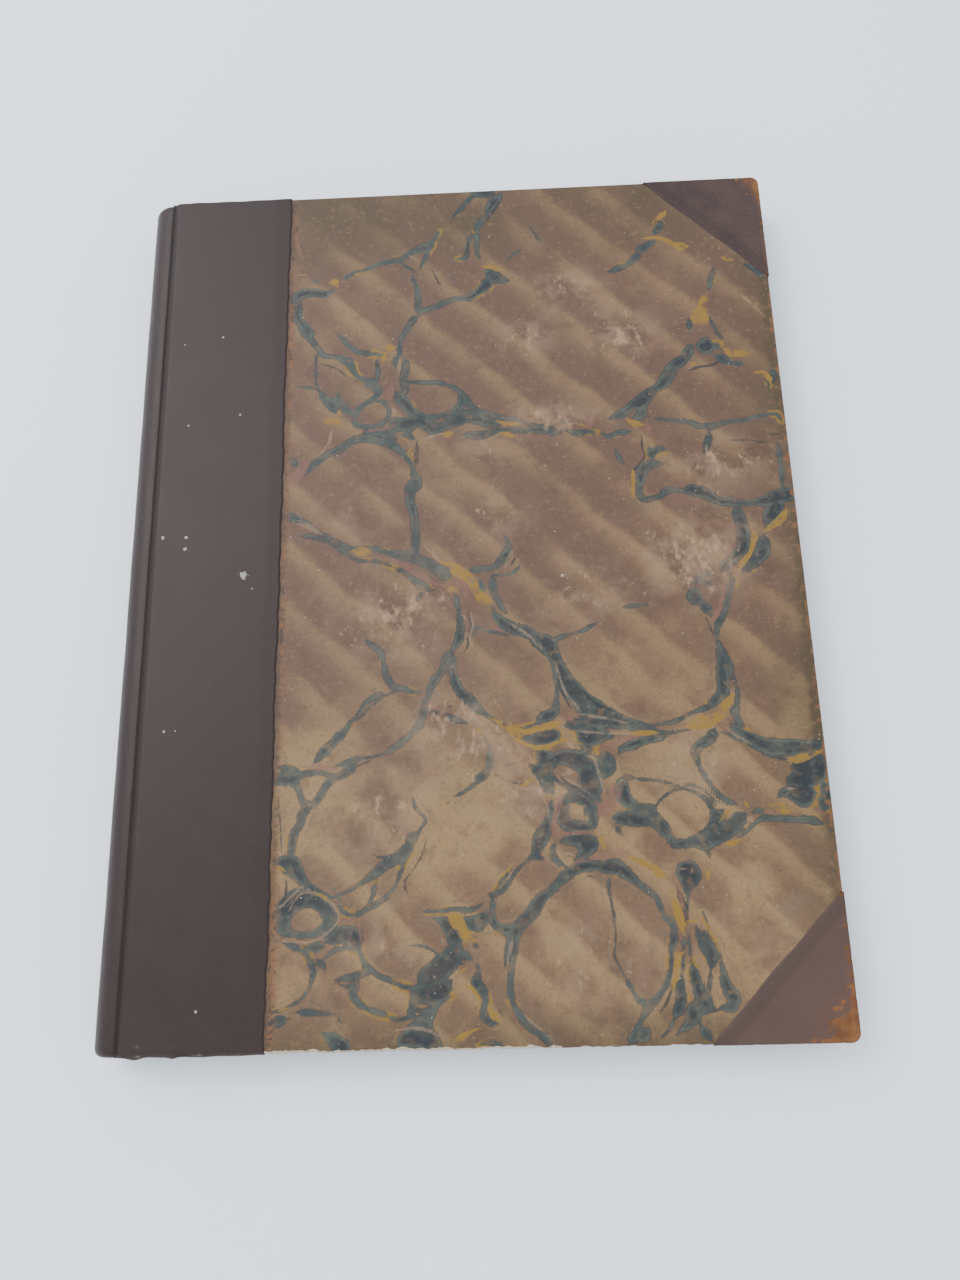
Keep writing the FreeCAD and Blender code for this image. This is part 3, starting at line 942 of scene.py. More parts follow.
@dataclass(frozen=True)
class PageBlock:
    """The sewn leaves: a thin ridge for each leaf, a hollow fore edge and a rounded back."""

    leaves: int = 84
    dip: float = 2.5
    back: float = -84.1
    corner: float = 0.4
    fore_points: int = 200
    end_points: int = 150
    spine_points: int = 58

    def build(self, finish: Material) -> Object:
        """The closed block.

        Its outline runs from the back along the tail, up the fore edge, and back along the head. Each leaf's
        rows stand out or lie back by a random few hundredths of a millimetre, and the fore edge is a hollow
        whose depth goes with the square of the height.
        """
        rng = np.random.default_rng(12)
        half, high, reach = BOOK.page_half_thickness, BOOK.page_half_height, BOOK.page_reach
        rows, back = 2 * self.leaves, self.back
        z = np.linspace(-half, half, rows)[:, None]
        ridge = np.repeat(rng.uniform(-0.1, 0.0, self.leaves), 2) - np.tile([0.0, 0.05], self.leaves)
        ridge = ridge[:, None]
        x_run = np.linspace(back, reach - self.corner, self.end_points)
        y_run = np.linspace(-high + self.corner, high - self.corner, self.fore_points)
        uneven = 0.05 * wavy(y_run, 8, (70.0, 23.0, 9.0))[None, :] * np.cos(z)
        x_fore = reach + ridge - self.dip * (1.0 - (z / half) ** 2) + np.minimum(uneven, 0.0)
        fore = spread(x_fore, y_run, z)
        squeeze = (x_run[None, :] - back) / (reach - self.corner - back)
        x_tail = back + squeeze * (x_fore[:, :1] - back)
        uneven = 0.06 * np.minimum(wavy(x_run, 9, (55.0, 19.0, 7.0)), 0.0)[None, :]
        tail = spread(x_tail, -high - ridge - uneven, z)
        head = tail[:, ::-1] * np.array([1.0, -1.0, 1.0])
        bulge = np.sqrt(BOOK.back_radius ** 2 - z ** 2) - np.sqrt(BOOK.back_radius ** 2 - half ** 2)
        spine = spread(back - bulge * 0.9, np.linspace(high, -high, self.spine_points + 2)[1:-1], z)
        around = np.concatenate([tail, fore, head, spine], axis=1)
        around[..., 2] += BOOK.middle
        rows, columns = around.shape[:2]
        index = np.arange(rows * columns).reshape(rows, columns)
        after = np.roll(index, -1, axis=1)
        sides = np.stack([index[:-1], after[:-1], after[1:], index[1:]], -1).reshape(-1, 4)
        points = around.reshape(-1, 3)
        n, m = x_run.size, y_run.size
        tail_row, head_row = np.arange(n), n + m + np.arange(n)[::-1]
        caps = []
        for level, over in ((0, True), (rows - 1, False)):
            a, b = index[level][tail_row], index[level][head_row]
            strip = np.stack([a[:-1], a[1:], b[1:], b[:-1]], -1)
            caps.append(strip[:, ::-1] if over else strip)
        piece = put_in_mesh("page_block", points, np.concatenate([sides, *caps]), finish, shaded=False)
        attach(piece, "book_block")
        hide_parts("text_block")
        return piece


@dataclass(frozen=True)
class Endband:
    """A core sewn over with thread in two colours, at the head or the tail of the back."""

    end: End
    radius: float = 0.66
    path_radius: float = 4.66
    turns: int = 44
    slant: float = 0.5
    above_pages: float = 0.75
    swelling: float = 0.12

    def build(self, finish: Material) -> Object:
        """A tube along the back's arc; its radius swells once for each turn of thread."""
        along, around = 12 * self.turns, 20
        angle = np.linspace(np.pi / 2, 3 * np.pi / 2, along)[:, None]
        turn = np.linspace(0.0, 2 * np.pi, around + 1)[None, :]
        thread = (angle - np.pi / 2) / np.pi * self.turns + turn / (2 * np.pi) * self.slant
        small = self.radius * (1.0 - self.swelling + self.swelling * np.abs(np.sin(np.pi * thread)))
        out = self.path_radius + small * np.cos(turn)
        x = BOOK.back_centre + out * np.cos(angle)
        z = BOOK.middle + out * np.sin(angle)
        y = self.end.value * (BOOK.page_half_height + self.above_pages + small * np.sin(turn))
        strand = (np.floor(thread / 2) % 2).ravel()
        points = np.stack([x, y, z], -1)
        faces = grid_faces(along, around + 1, 0, self.end is End.TAIL)
        piece = put_in_mesh(f"{self.end.word}_endband_sewn", points.reshape(-1, 3), faces, finish,
                            {"strand": strand.astype(float)})
        close_ends(piece)
        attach(piece, "book_block")
        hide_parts(f"{self.end.word}_endband")
        return piece


def close_ends(piece: Object) -> None:
    """Merges a tube's doubled seam, closes its two ends and turns its faces outwards."""
    mesh = bmesh.new()
    mesh.from_mesh(piece.data)
    bmesh.ops.remove_doubles(mesh, verts=mesh.verts, dist=1e-6)
    bmesh.ops.holes_fill(mesh, edges=[e for e in mesh.edges if e.is_boundary])
    bmesh.ops.recalc_face_normals(mesh, faces=mesh.faces)
    mesh.to_mesh(piece.data)
    mesh.free()


@dataclass(frozen=True)
class Pastedown:
    """The endpaper pasted inside a board, with the ridges that the turn-ins raise in it."""

    side: Side
    margin: float = 3.5
    turn_in: float = 15.0
    depth: float = 3.4
    under: float = 2.95
    ridge: float = 0.16
    lap_softness: float = 1.2
    corner_share: float = 0.62
    cockling: float = 0.02

    def build(self, finish: Material) -> Object:
        """The closed sheet, raised over the turn-ins with a soft step."""
        x = np.linspace(BOOK.board_start + 0.02, BOOK.fore_edge - self.margin, 190)
        y = np.linspace(-BOOK.half_height + self.margin, BOOK.half_height - self.margin, 240)
        xs, ys = np.meshgrid(x, y)
        from_edge = np.minimum(BOOK.fore_edge - xs, BOOK.half_height - np.abs(ys))
        diagonal = BOOK.fore_edge - xs + BOOK.half_height - np.abs(ys) - BOOK.corner_size * self.corner_share
        from_lap = np.minimum(from_edge - self.turn_in, diagonal / DIAGONAL)
        raised = 1.0 - smooth((from_lap + self.lap_softness / 2) / self.lap_softness)
        cockle = self.cockling * wavy(xs * 0.6 + ys, 14, (60.0, 27.0, 15.0))
        outer = spread(xs, ys, self.side.height(self.depth - self.ridge * (1.0 - raised) - np.abs(cockle)))
        inner = spread(xs, ys, self.side.height(self.under))
        over = self.side is Side.FRONT
        piece = shell(f"{self.side.word}_pastedown_sheet", outer, inner, finish, turn_over=over)
        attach(piece, self.side.body)
        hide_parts(f"{self.side.word}_pastedown")
        return piece


# The endpaper's fold: place along x and depth below the cover's face, and the way to its inner face at each.
FOLD_PATH = ((-83.98, 3.62), (-84.0, 2.4), (-84.0, 1.5), (-83.92, 1.2), (-83.75, 1.1), (-83.58, 1.2),
             (-83.5, 1.5), (-83.49, 2.4), (-83.48, 3.42))
FOLD_INWARD = ((1, 0), (1, 0), (1, 0.2), (0.7, 0.7), (0, 1), (-0.7, 0.7), (-1, 0.2), (-1, 0), (-1, 0))


@dataclass(frozen=True)
class EndpaperHinge:
    """The fold of the endpaper in the joint, from the shoulder of the pages to the edge of the board."""

    side: Side
    thick: float = 0.12

    def build(self, finish: Material) -> Object:
        """A closed strip that goes up the shoulder, over under the leather, and down the board's edge."""
        path, inward = np.array(FOLD_PATH), np.array(FOLD_INWARD)
        y = np.linspace(-BOOK.page_half_height + 0.5, BOOK.page_half_height - 0.5, 60)[:, None]
        outer, inner = (spread(line[:, 0], y, self.side.height(line[:, 1]))
                        for line in (path + inward * self.thick, path))
        over = self.side is Side.FRONT
        piece = shell(f"{self.side.word}_endpaper_fold", outer, inner, finish, turn_over=over)
        z = self.side.height(0.0) * MM
        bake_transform(piece)
        return piece


# The strokes of each ink, drawn on the flat sheet. A stroke is a row of points x,y,half-width joined
# by / and strokes are parted by ; with x from a line that Marbling.left gives, just inside the back of the
# spine, and y from the tail. A point without a half-width has the one before it.
TEAL_VEINS = """
42,44.6,1/46,43.5,2/48,41,1.2/50,39,.9/53,37,.6/56,35.5,.5; 45,31.5,1.6/47,34.5,1.8/50,35.6,1.7/53.5,34,1.6/
55.3,31,1.3/54.3,28.4,1/51,27,.7/47,27.3,.8/44.5,28.8,1.4/45,31.5,1.6; 44.5,25.2,.5/48,24,.6/50.5,21.8/
51.8,19/51.5,16,.5/50,13.2,.4/47.5,11.2,.3/44,9.8/41,9.6; 50,24,1/53.5,24.3; 55,25.3,1/57.5,26.6,1.5/
60.5,26.6,1.9/62,25.3,1.3/63.2,22.8,.6/64.2,20.5/65.5,18.8/68,17.2/70.5,16,.5/73,14.8/75.5,14.5,.7;
57.5,16.5,.6/60,17/62.5,17.6/65,17.3; 63,15.5,.5/62,13.5,.6/62.6,11.8/65,10,.4/68,8.8,.3/71,7.6,.2/74,7.3;
48.5,9.5,.7/51,9.3/54,8.9,.6/57,8.8,.4; 58.3,7.4,.8/58.5,7.2; 41.5,7,1/44,7.5,1.1/46,7.8,.4; 54,4.8,.4/
56.5,3.5,1/58,2,1.6/59,0,2; 72.5,1.5,1/74.5,3,1.6/77.5,3.2,1.8/80,2.5,1.5/82.5,1.2,.7; 75,6,.4/77,6.3,.6/
79.5,7.6,.8; 75.5,14.3,.7/78.5,12.8,1.8/82,13.2,2/84.5,14.6,1.2; 79,15.6,1/81,18,1.3/83.5,20.5,1.6/
86,22.5,1.5/86,25.5/84.5,28,1.4/82.5,30,.8/80,31.2,.4; 78.5,31.8,.25/82,31.8,.3/86,32.2,.45/90,31.8,.4;
74.5,23.8,.2/77.5,23.9/80.5,22.8/83,21; 56.5,35.5,.3/60,37,.4/64,39.3,.5/67,41.3,1/70,43.3,1.2/73,45,1.4/
75.5,47,1.6; 58,35,.3/58.5,32.5,.5/61,31.3/63.5,32/65.5,34/66.5,37/67.2,39.5,.6; 63,31.5,.5/66,33/69,35/
71.5,37.7,.4/73,41/74,44,.3; 41,64,1.2/43,64.8,1.3/45.5,64.6,1.2/47,65.5,.8/50,66.3,.6/53,66.3,.5/
55.5,65.3,.7/57.5,65.3,.9/60,66.5,1/62,68,.8; 42.5,68,.8/45,67.5/47,67.2,.5; 46,64.5,.8/47.3,62,.7/
48.2,59.5/49.3,57.8,1/48.3,55.5/48,53.5,.9/46.5,51.5/46,49/45.8,46,1; 49.3,57.8,.8/51.5,58.5,.9/53.2,61,.8/
55,63.5,.9/57,65,1; 51,68.8,.4/53,71,1/55,73,1.1/57.5,75.5,1/59.3,77.5,.5/62,81,.25/64,83.8,.35/66.5,85.5/
68,86.7,.3; 60,78,.2/63,80.5/65.5,82.8/68,85.2/70.5,86.2/73,87/76,86.5/78.5,86.2; 67.2,98,.6/68.3,96/
69,93.5,.5/69.5,91,.6/70.5,89,.7/72,87.8,.6/74,87.5,.4/76.5,86.5,.3; 86.5,97,.8/85,95.5,.7/84.5,93.5,.9/
83.8,91.5/82,89.2/81,87,.8/80.3,85,.6/79.3,83/78.7,81,.7/78.6,79,.9/77.5,77/75.5,75.3,.7/73.8,73.7,.8/
71.5,72.2,.6/69.5,70.8,.3/67.5,70.2,.2/65,69.8,.4/62.5,69.8,.5/61,69.3,.6/59,68.5,.5/56.5,67.8; 76,59.5,.2/
76.8,57,.25/78.3,55,.3/79.3,53.7/78.6,52.2/77.5,50.8,.4/76,49.3,1.3/75,48,1.5; 84.8,57.6,.4/85,57.8;
84.5,80.2,.5/87,79/90,77.8,.6; 80,81.3,.4/83,80.7; 85.5,82.2,.5/86,82.4; 40.5,136.3,.9/43,136.3,1/
45.5,135.5,.8/47.5,134.5,.6/49.5,133,.3; 46,130.8,.5/49,130.5/51.5,129.5,.4/54.5,128/57.5,126,.35/60,124/
62,123/65,122.8,.3/68,122.2/71,121,.35/74,119.3,.4/76,117.7,.6/78,116,.8/80,114.7/82,114,.6; 50,132.5,.3/
53,130.5/56,128.8,.35/59,127,.4/61,126.5/64,126.8,.35/67,126.2,.6/70,125,.8/73,124,1/76,123.7,1.3/79,122.3/
82,120.5/84.5,118.5,1.6/86,117.3,1.5; 77.5,147,1.4/77.6,145,1.5/76.3,143.3,1.4/75.8,141,1/76.3,138,.9/
77,135/77.3,132/77.4,129/77.3,126.5/77,124.5,1.2; 80,114,.6/78.5,112.5,.5/76.5,110.3,.3; 87.8,112.5,.3/
88.2,110,.5/88.8,107/89,104,.8/88.8,101,.9/88,99,.7/86.5,97; 64,101,.5/67,98/68.6,97.5; 44.5,194.5,1.2/
46.5,192.3,1/48.3,190,.6/49.7,188,.7/51.2,186,.6/53.5,185.3,.4/56,184.8,.5/58.3,183.3,1/59.3,181,.9/
60.8,178.8,.6/63,177,.5/65.5,175.3,.6/67,174,.8; 55,193,.3/56.5,191,.4/58.5,188.7/60.5,186.8,.5/63,186,.6/
66,185.7/69.5,185,.4; 76,195,.4/74.5,192.5,.5/73.5,190/73.3,187,.6/73,185,.4/71.8,183,.6/72,181;
66.5,183.5,.4/67,181/66.8,178.5/66.5,176.5; 55.8,174,.4/55.5,171.5,.7/57,169.2,.8/59,167.6/60.3,166.5,.6;
66,172,.4/64,170/61,168.3; 60.3,165,.7/61.5,168,.4/64,170.3/67.5,170.6,.3/69.8,168.5,.4/70,166/
68.5,163.5,.3/66,162.4,.4/63,162.5,.3/60.8,163.7,.5; 46.5,148.5,.3/48.3,150.8,.5/50,152.5,.7/52.5,154.3/
55.5,155.7,1/58.5,157.5,.9/61,159,1/64,159,.9/67,158.3,.8/70,157.3/72.5,155.8/74.7,153.5,.7/76.2,151,.5/
76.8,149,.7/77.3,146.5,1.1; 63,160.8,.4/66,160.7/69,160.2,.5/72,158.5,.6; 50.3,174.5,.6/52,172,.9/
53.8,170,1/55,167.5,.6; 49,186,.2/49.2,181/49.5,176/50.3,174.5; 44,176.3,.2/48,175.5/50.5,174.3; 44,152,1.3/
42,154,.8; 74.5,172.5,1/75.5,176,.5/79,175.8,.4/83,175.7/86.5,174.8,.5/89.3,173.3/90.8,171,.9/90,168/
88,165.8,1/84,165,.7/80,165,.8/77.5,166.8/75.5,169,1.2/73.5,171.3/74.5,172.5,1; 74.5,184,.8/75,181/
74.3,178.5/73.8,175.5; 73,162,1.6/76,163.3/79,163.8,1.2/82,161.5,1.4/85,161.5,1/87.5,163.5,1.2; 57,211,.5/
58.5,212/60.5,213.2/62.5,213.6/65.5,214.7,.4/68,215.8,.5/71,216.2,.7/73.5,216.7/75.5,218.3/78,219.5,.9/
80.5,220.5,1.1/82.3,220.8/83.3,222.7,.6/84.5,224.7,.4/85.3,226,.3; 82,220,.9/81,217.5,.5/80,215.5,.4/
79.3,213.3,.3; 73.5,216,.35/74.8,214.5/77,213/78,212; 76.5,211.5,.3/77.5,209,.4/78.3,206,.6/78.6,203,.7/
78.3,200.5,.6/79.3,199,.5/83,200,.6/86,201.3,.8/88.5,202.2,.7; 78.5,197.5,.6/76.8,196,.8/75.8,193.5,.6/
74.5,191.5; 42,204,1.2/44,206/46,206.8/49,206.5,1/52,206,.9/53.5,207,.7; 44,203,1/43.3,200/44,197.5/46,195/
48,192.3,.8; 47.5,211.2,.6/49.5,210,.4; 109,.5,.4/107,2.8,.6/104.5,4.8/102,7/100,9.5/99.2,12/99.2,15/
99.6,18,.7/100.2,21,.6/100.8,24,.7/101.2,27,1.2/103,29,1.3/105.5,31.5,1.4/107.3,34,1.2/109.5,35.7,.8/
112,38,1.1/114.5,40,1.3/117,41.3,1.2/120,41.5,1.1/123,41.2,1.3/126,41,1.6/128,39.7,1.3/130.5,37.5,.8/
133,35.5,.7/135,34,.6/135.8,32,.4/136.5,29.5/138.5,27.5,.7/138.8,25,.8/138,22,.6/137.7,19,.7/137,16,.5/
135.5,13,.6/133.5,10.5,.7/131.5,8.8,.9/130.2,7,.5/128.7,4.5/127.5,2,1/126.5,.8,.5; 131,4,1.3/129.5,2,1.4;
98,19,.6/98.7,22,.5/99.3,25/100,27.5,.8; 99.8,8.8,.3/101.5,6.5/104,4/106.5,1.8/108.5,.5; 124,38,1/
123.8,36,.4/124.2,33,.3/124.7,29,.25/124.8,25,.2/124.3,20.5/125.5,17.5/127,14.5,.3/129,11,.5/130.5,10,.7/
132,9.6,.9; 95.5,34.5,.8/95.5,32,.5/95.5,29.5,.7/96.5,27.5,.8/98.5,27,1/100.5,27,.8; 95,35.3,.8/97.5,36,.5/
99.5,37.8/101,40,.4/102.5,41.8,.3/104.5,43.3,.4/106,44.3,.6/108,43.5,.8; 96.5,36.5,.5/98.5,39/100.5,41.5,.3;
88,29.5,1.2/90.5,28.5,1.6/93,29.5,1.3/94,31.5,.8; 86,32.2,.4/88.5,31.8/91,32.2/93,33.2; 86,27,.7/87,25.3,1;
87,23,.7/90,20.5,.8; 86,21,.5/88,19.3,.6; 91,23.8,.6/91.5,23.4; 91.5,19.2,.8/91.5,17,.6/91,15,1.1/92.5,13/
93.3,11,.7/92.6,9.5,.5/92.8,7.5,.9/94.5,6.3/96,5.8,.5; 91.5,1.4,.3/94,1.8,.5/96.5,1.2; 111,46.5,1/
110.5,44.5,.7/112,42.5/113.5,41.5,.9; 117,46,1.5/120,46.5,1.6/118,44.5,1/116,43,.6; 108,47,1.5/
106.5,45.5,.9/105.3,44.5,.3; 86.7,95,.7/86.9,92,.5/87.3,89,.6/88.5,86.5,.8/90.5,84,.9/93,81.5,.8/
95.5,79.5,.5/98,77.8,.4/101,76.5,.3/104.5,76/107.5,77,.5/110,78.3,.7/112,79.3,.9/113,81.5,.6/113.3,84.5,.4/
113.5,87.5/113.2,90.5/112.7,93,.3/111.5,95.5/109.5,99; 111.5,98,1.5/112.8,95.5/114,93,1.3/115,90.5,1.4/
116.5,87.5,1.8/118.5,84.8,2/121,82.3/124.5,80.2,1.6/127.5,78.5,1.2/131,77,1/134,76,.7/137.5,75.2,.5;
115.5,76.5,.7/118,76.5,1.2/121,77.3,1.3/124,77,1.2/127.5,76.8/131,75.8,.8/134,74.9,.5; 118,74.5,1.3/
120.5,73,1.5/123.5,73.3,1.2/127,73.3,.8; 119,71,1.3/121.5,70.3,.8; 103.5,73.8,.3/106,73.3,1/109,73.5,1.6/
112,74,1.4/113.3,74.5,.8; 108,68.5,1.1/109.5,67.5,1.2/111.5,67.8/114,68.5,1.6/117,67.8,2/120,66.3,2.2/
121,63/121,60.5,2/118.5,61.8,1.5; 122.5,57.8,1/122.8,57.4; 106,66.5,.7/107.5,65,.9/109.5,63.5,.8/
111.5,61.5,.6; 108,63,.5/109.5,61.3,1/111,59.8,.8; 124.9,64.3,1.7/125,66.5,1.9/125.1,68.6,1.6; 129.3,62,1.3/
128.8,59.5,1.5/129.8,57,1.3/132,55.3,.8/135,54.3,.9/137,52,1.2/138.5,49.5/139.5,47.5,1; 126,53,.8/
128.5,52.5,1.1/131.5,52,1.3/134.5,51.5,.9; 126.5,50.5,.9/127.5,49,1; 129.8,63.3,.6/132,62.5,.2/136,62/
140,61.2/143,60.3; 128.2,68.5,.3/129,70,.6/131.5,71,.9/134,71.8,1/138,72.5,.8/141,72.7,.3; 114.5,58,1/
113.8,55.5,1.2/113.5,53,1.3/115.5,51.3,1.2/118,50.8,1/120.5,50.7,.7/121,53.5,1/120,56,.9/118,57.5,1/
114.5,58; 110.8,57.5,.5/110.3,55,.7/109.7,52.5,.9/108.5,50,1.5/107.5,48/106,46,.8; 114,48,1/118,48.2,1.2/
121,48.3,.8; 93,75.8,.2/94.7,73.5,.3/95.8,71,.4/96,68.5,.8/95.3,66,.7/94,64.5,.9/92,62.8,.6/90,61,.3/
88,59.8,.4/86.5,59.3,.3; 92,119,.8/95,119.5,.7/98,119.7,.6/100,121,1/101.5,123/102.3,125,.8/102.3,126.5,.4/
101.3,129,.2; 98,117.7,.4/101,117.5,.35/103.5,118/105,119.8,.3; 94.5,116,.6/94.7,114,.7/95,112.5,.5;
97.5,117,.8/97.7,114.5,.9/98.3,112,.6/99.3,110,.5/100.5,108/101.3,106.8,.4; 97.5,108,.5/98.5,106,.8/
100,104.3,1.1/102,103,1.2/104.5,101.3,.6/107,99.5,.3/110.5,95.5; 104.5,103.7,.5/107,101.5,.9/109.5,100,1/
111.5,98.5,1.6/113,96.5,1.8; 95,102.3,.3/98,101.8/101.5,100.8; 92,103,.8/94.5,103.3; 92.3,101.5,.6/
92.6,101.2; 113.5,99,.8/115.5,100,.5/118,100.5,.3/121,101.3/122.5,102.3/125,103.5,.15; 132,107.3,.3/
135,107.7/138,107.9; 92,171,.8/92.8,168.5/95,166.5,.5/98,165.3,.7/101,164,.6/104.5,163.3,.5/107.5,162.5/
110,161.3,.3/113,160.5/116,160; 86.5,162.5,1.3/89,163.5,1.5/91.5,164.8,1.7/94.5,164,1.5/97.5,162.5,1/
101,162,.8; 90.5,159,.8/94,158.7,.9/97,158.8/100,159.8,.5/104,159.7,.6/107,159.7,.7/110,159.8/113,159.5,.9/
116,158.8,1/117.8,158.8,.7; 119.5,159.3,.6/122,158.3,.7/124,158.5,.6/127,158.2,.4/129.5,157.8/131,156.8,.5/
134,157.8/137,158.2; 116,161,.25/119,161.7/121.5,161.8; 95,238,.9/93.5,236,.6/91.5,233.5,.7/90,231.8,.4/
89,230.5,.2; 104,238,.8/102.5,236.3,1/100.5,234,1.2/99.7,232,.7/99,230.5,.3/97.5,229.3,.4/96.7,227.5,.8/
96,225.5,.5/96.2,223/96,220.5/96,218,.4/96.8,216,.3; 95,239.3,1.2/101,238.6,1.6; 96,223.5,.4/94,223.3,.5/
93.5,221,.4/93.2,218.5/92.8,216.5,.5/90,216; 98.5,212,.5/101,209.5,1.6/103,208.3,1/105,208,.5; 100,208,1.6/
98,206.3,1.5/96,204.5,1.1/94,203,1.2/91.5,202.8,.7/89,202.3/86.5,201.7,.6; 105,215,.3/107,217/108.8,218;
112,226,.2/114.5,221; 88.5,209.5,.5/88.8,209.2; 141,39.5,1.8/143.5,39.8,2/143,37.5,1.6/142.8,35.5,.8/
142.7,33.5,.4/142.5,31,.2; 144.2,27,.4/144.5,24.5,.5/145.2,22,.6/145.8,19.5,.4; 145.8,25.5,.4/146.8,22.5,.8/
147.3,19.5,1.1/146.8,17,.8; 142.5,18.5,.9/142.8,16,1.1/143.2,13.5/144,11,1.2/145,9/146.5,8.3,.8;
139.8,15.5,.5/139.3,12.5,1/139,9.5,1.1/138,7.5,1.2/137.5,6.5,.6; 142,9.5,.7/141.8,7.5,1.5/141,5.5,1.2/
139.3,4,.6/137.5,2.5,.3; 143.5,4.5,1/144.5,2.5/145.8,1,.5; 149.3,18,.5/149.8,15,.9/150.5,12.5,1.3/
151.5,10.5,1.2/150.5,8.5,.8/148.5,8.5,.5; 140,46,1.2/139.3,48,1; 143,46,.8/145.5,46.5,1/148,46,1.6/
150.5,47.5/153.5,48.8,1.3/157,49,.7; 148.5,44,1/148.8,42.7,.6; 155.5,98,.6/156,95,.8/156.2,92,1.1/
156,89,1.3/156.2,86,1.4/155.5,83.5,1.3/153.5,81.5,1/151.5,80,.7/149,79.3,.4/146,78/143.5,76.8/
140.5,76.2,.35/137.5,76,.3; 157,95,.3/158,91.5,.5/158.5,88/159.3,85,.3/159.3,82,.4/158.8,79.5,.7/
158.7,77,.6/160,75,.5; 157.5,79,1/157.6,78.6; 132,74.9,.3/136,74.7/141,73.8/144,74/146.5,74.5;
152.8,74.5,.7/152,72.5,1.2/150,71,1/148,70/147.5,68.5,.9/148,66,.6/149,63,.5/150.5,60.5/152,58.5,.6/
154,56.5/156.5,55.5,.5; 154.5,73.5,.3/157,72.7/160,70.8/162.5,69.3/165,68/167.5,66.8/170,65.7; 157,75.3,.8/
159,73.8,.9/161.5,72,1.2/164.5,70.2,1.5/168,69.3,1.8/171.5,69.2/175,69,1.5/178.5,69.5,1/181,70;
171.5,64,1.7/174.5,64,2.2/177.5,65,1.8/178,62.5,1.5/174,61,2.2/171.5,60,2/174,57.5,2.2/172.5,55.8,1.2/
169,58,1/167,57,.8; 178,60,1.5/179,57.5/178,55/179,53.5,.8; 153,54,1/152,52,1.2/150.5,49.5,1.4/148,47.5,1.3/
146,47,.7; 144,60.8,.5/146,60.5,.3/148,59.5/150,57.5/151.5,56,1; 158,52.5,1.8/156,51,1.6/154,49,1.5/
152,47.5,1.2; 160.5,53.5,1.2/162.5,53.8,.8; 177,50.2,.8/174.5,51,.9/171,51.3,.7/167,51.5,.6/163,51.8/
161,51,.5/158.5,49/156.5,47.5; 178.5,48.5,.7/179,48.3; 136.5,55.5,.3/138.5,57.5/141.5,59.3/144.5,59.5/
147.5,58/149.8,55.5/150.5,52.5/149.5,50; 139,146.5,1/139,143.5/138.5,141.5,.7/138.5,139,.9/139,137.5,.8;
139,137.3,.8/141.5,137.8,.6/144,138.5,.5/145.5,139.8,.9/147.5,140.2,.7/150,139.9,.6/152.5,139.7,1.3/
155,139.2,1.5/157.5,137.8,1.2/160,136.3,1/163,136,1.1/166,135.5,.8/169,135.7,.9/172,136,1.4/175,137,1.8/
178,137.5,1.6/181,139,1; 175.5,135,2.2/173.5,132.5,1.8/172,130,1.3/171,128.5,.5; 163.5,134,1.2/
164.5,131.5,1.3/165,128.5,1.4/165,125.5,1.5/164.5,122.5,1.4/162.5,120.5,1/160.5,119,1.1/159,117.5,1/
158,116.3,.4; 170.5,126,.8/170,123.5,1.4/169.5,121.5,1.6/167.5,119,1.3/165.5,117.3,1.2/164,116,.7;
151,113.5,.9/152.5,114.5,.8/153.5,115.8,.7/155,116,.6/156.3,114.5,.4; 154,113.5,1.6/155.5,112,.7;
152,111.5,1.3/150.5,109.5,1.5/152,108.3,1/153.5,106.3/154.5,104.5,.8; 161,115.5,.6/161,113.5,.8/160,111,.7/
159,108,.6/158.2,105/157,103,.7/155.8,101/155.5,98.5,.5; 177,147,.5/177,144/176.8,140; 132,162.3,.9/
134.5,163.3,1/137,165/139,166.3,1.5/141,167.3,1.7/143,169.3,1.3/145,170.7,1/147,172.5,1.4/149,175.5,1.5/
151,178,1.4/153.5,180.3,1.2/155,182.5,1.3/156,184,.8; 141.5,164.5,1.8/140,162.7,1/138,162,.6; 144,161.8,.4/
147,161.3/150,160.8/153,160.2,.5/155.5,159.2,.7/158,158.7,.8/160.5,158.8/163,159.5,.5/166,160,.4/
169.5,160.3/173,161.3/176,161.8,.5/178,161.3,.6/178.8,159,.5; 158.5,157,.9/158.3,155,.7/157.5,152.5,.5/
157,150,.2; 177,153,.5/177,147,.6; 141.8,153,1/142.3,151/144.5,152.5,.8/146.5,151.5,.5; 145,148,.5/
142.5,148,.8/140.5,147.3,1.2/139.5,145.5,1.3/138.8,143.5,1; 132.5,153,.4/133.5,150.5,.5/134.5,148.5,.3;
160,186,1.5/160,183.5,2/158,184.3,1.2; 162.5,184.5,1.5/164,183,1; 162.5,180.5,.9/165,179,1/167,178,.6/
170,177.5,.3; 156,193,.4/155.8,189.5,.6; 177.5,175.5,.7/178,173.5/176.3,170.5,.5/176.5,168.5,.3; 162,193,.3/
163,189/165,186; 134,209.5,.3/137,210.3,.7/140,212/142,213.5,.9/143.5,216/145.5,217.5/148,219,.8;
148.3,221.8,.4/149,223,.9/150,224.5,.8/150.5,226,.3; 164.5,209,.9/163.8,207,.7/163.2,205/162.5,202.5,.9;
173,210,.5/175.5,209,.8/177.5,207.5,1.2/179.3,205.5,1; 78,16,2/81,17.5,2.4/84,19.5,2.2/86,22,1.9;
79,12.5,1.7/82,13.5,1.6/85,15.5,1; 84.8,27,1.7/86.8,24.5,1.8; 73,2.5,1.3/76,3.5,1.8/79,3.1,1.9/82,1.9,1.2;
55,4,.5/57,3,1.1/59,1.8,1.6/60.5,.8,1; 44.3,30,1.1/44.2,33,1.3/46,36,1.1/49,37.4,.8/52,36.4,.7; 55.5,33,1.1/
57,30.4,.7/56,28.4,.8/53.8,26.4,.6; 56,26,1.4/58.5,26.8,1.6/61.5,27,1.5/63,24.5,.9; 50.5,24,.5/
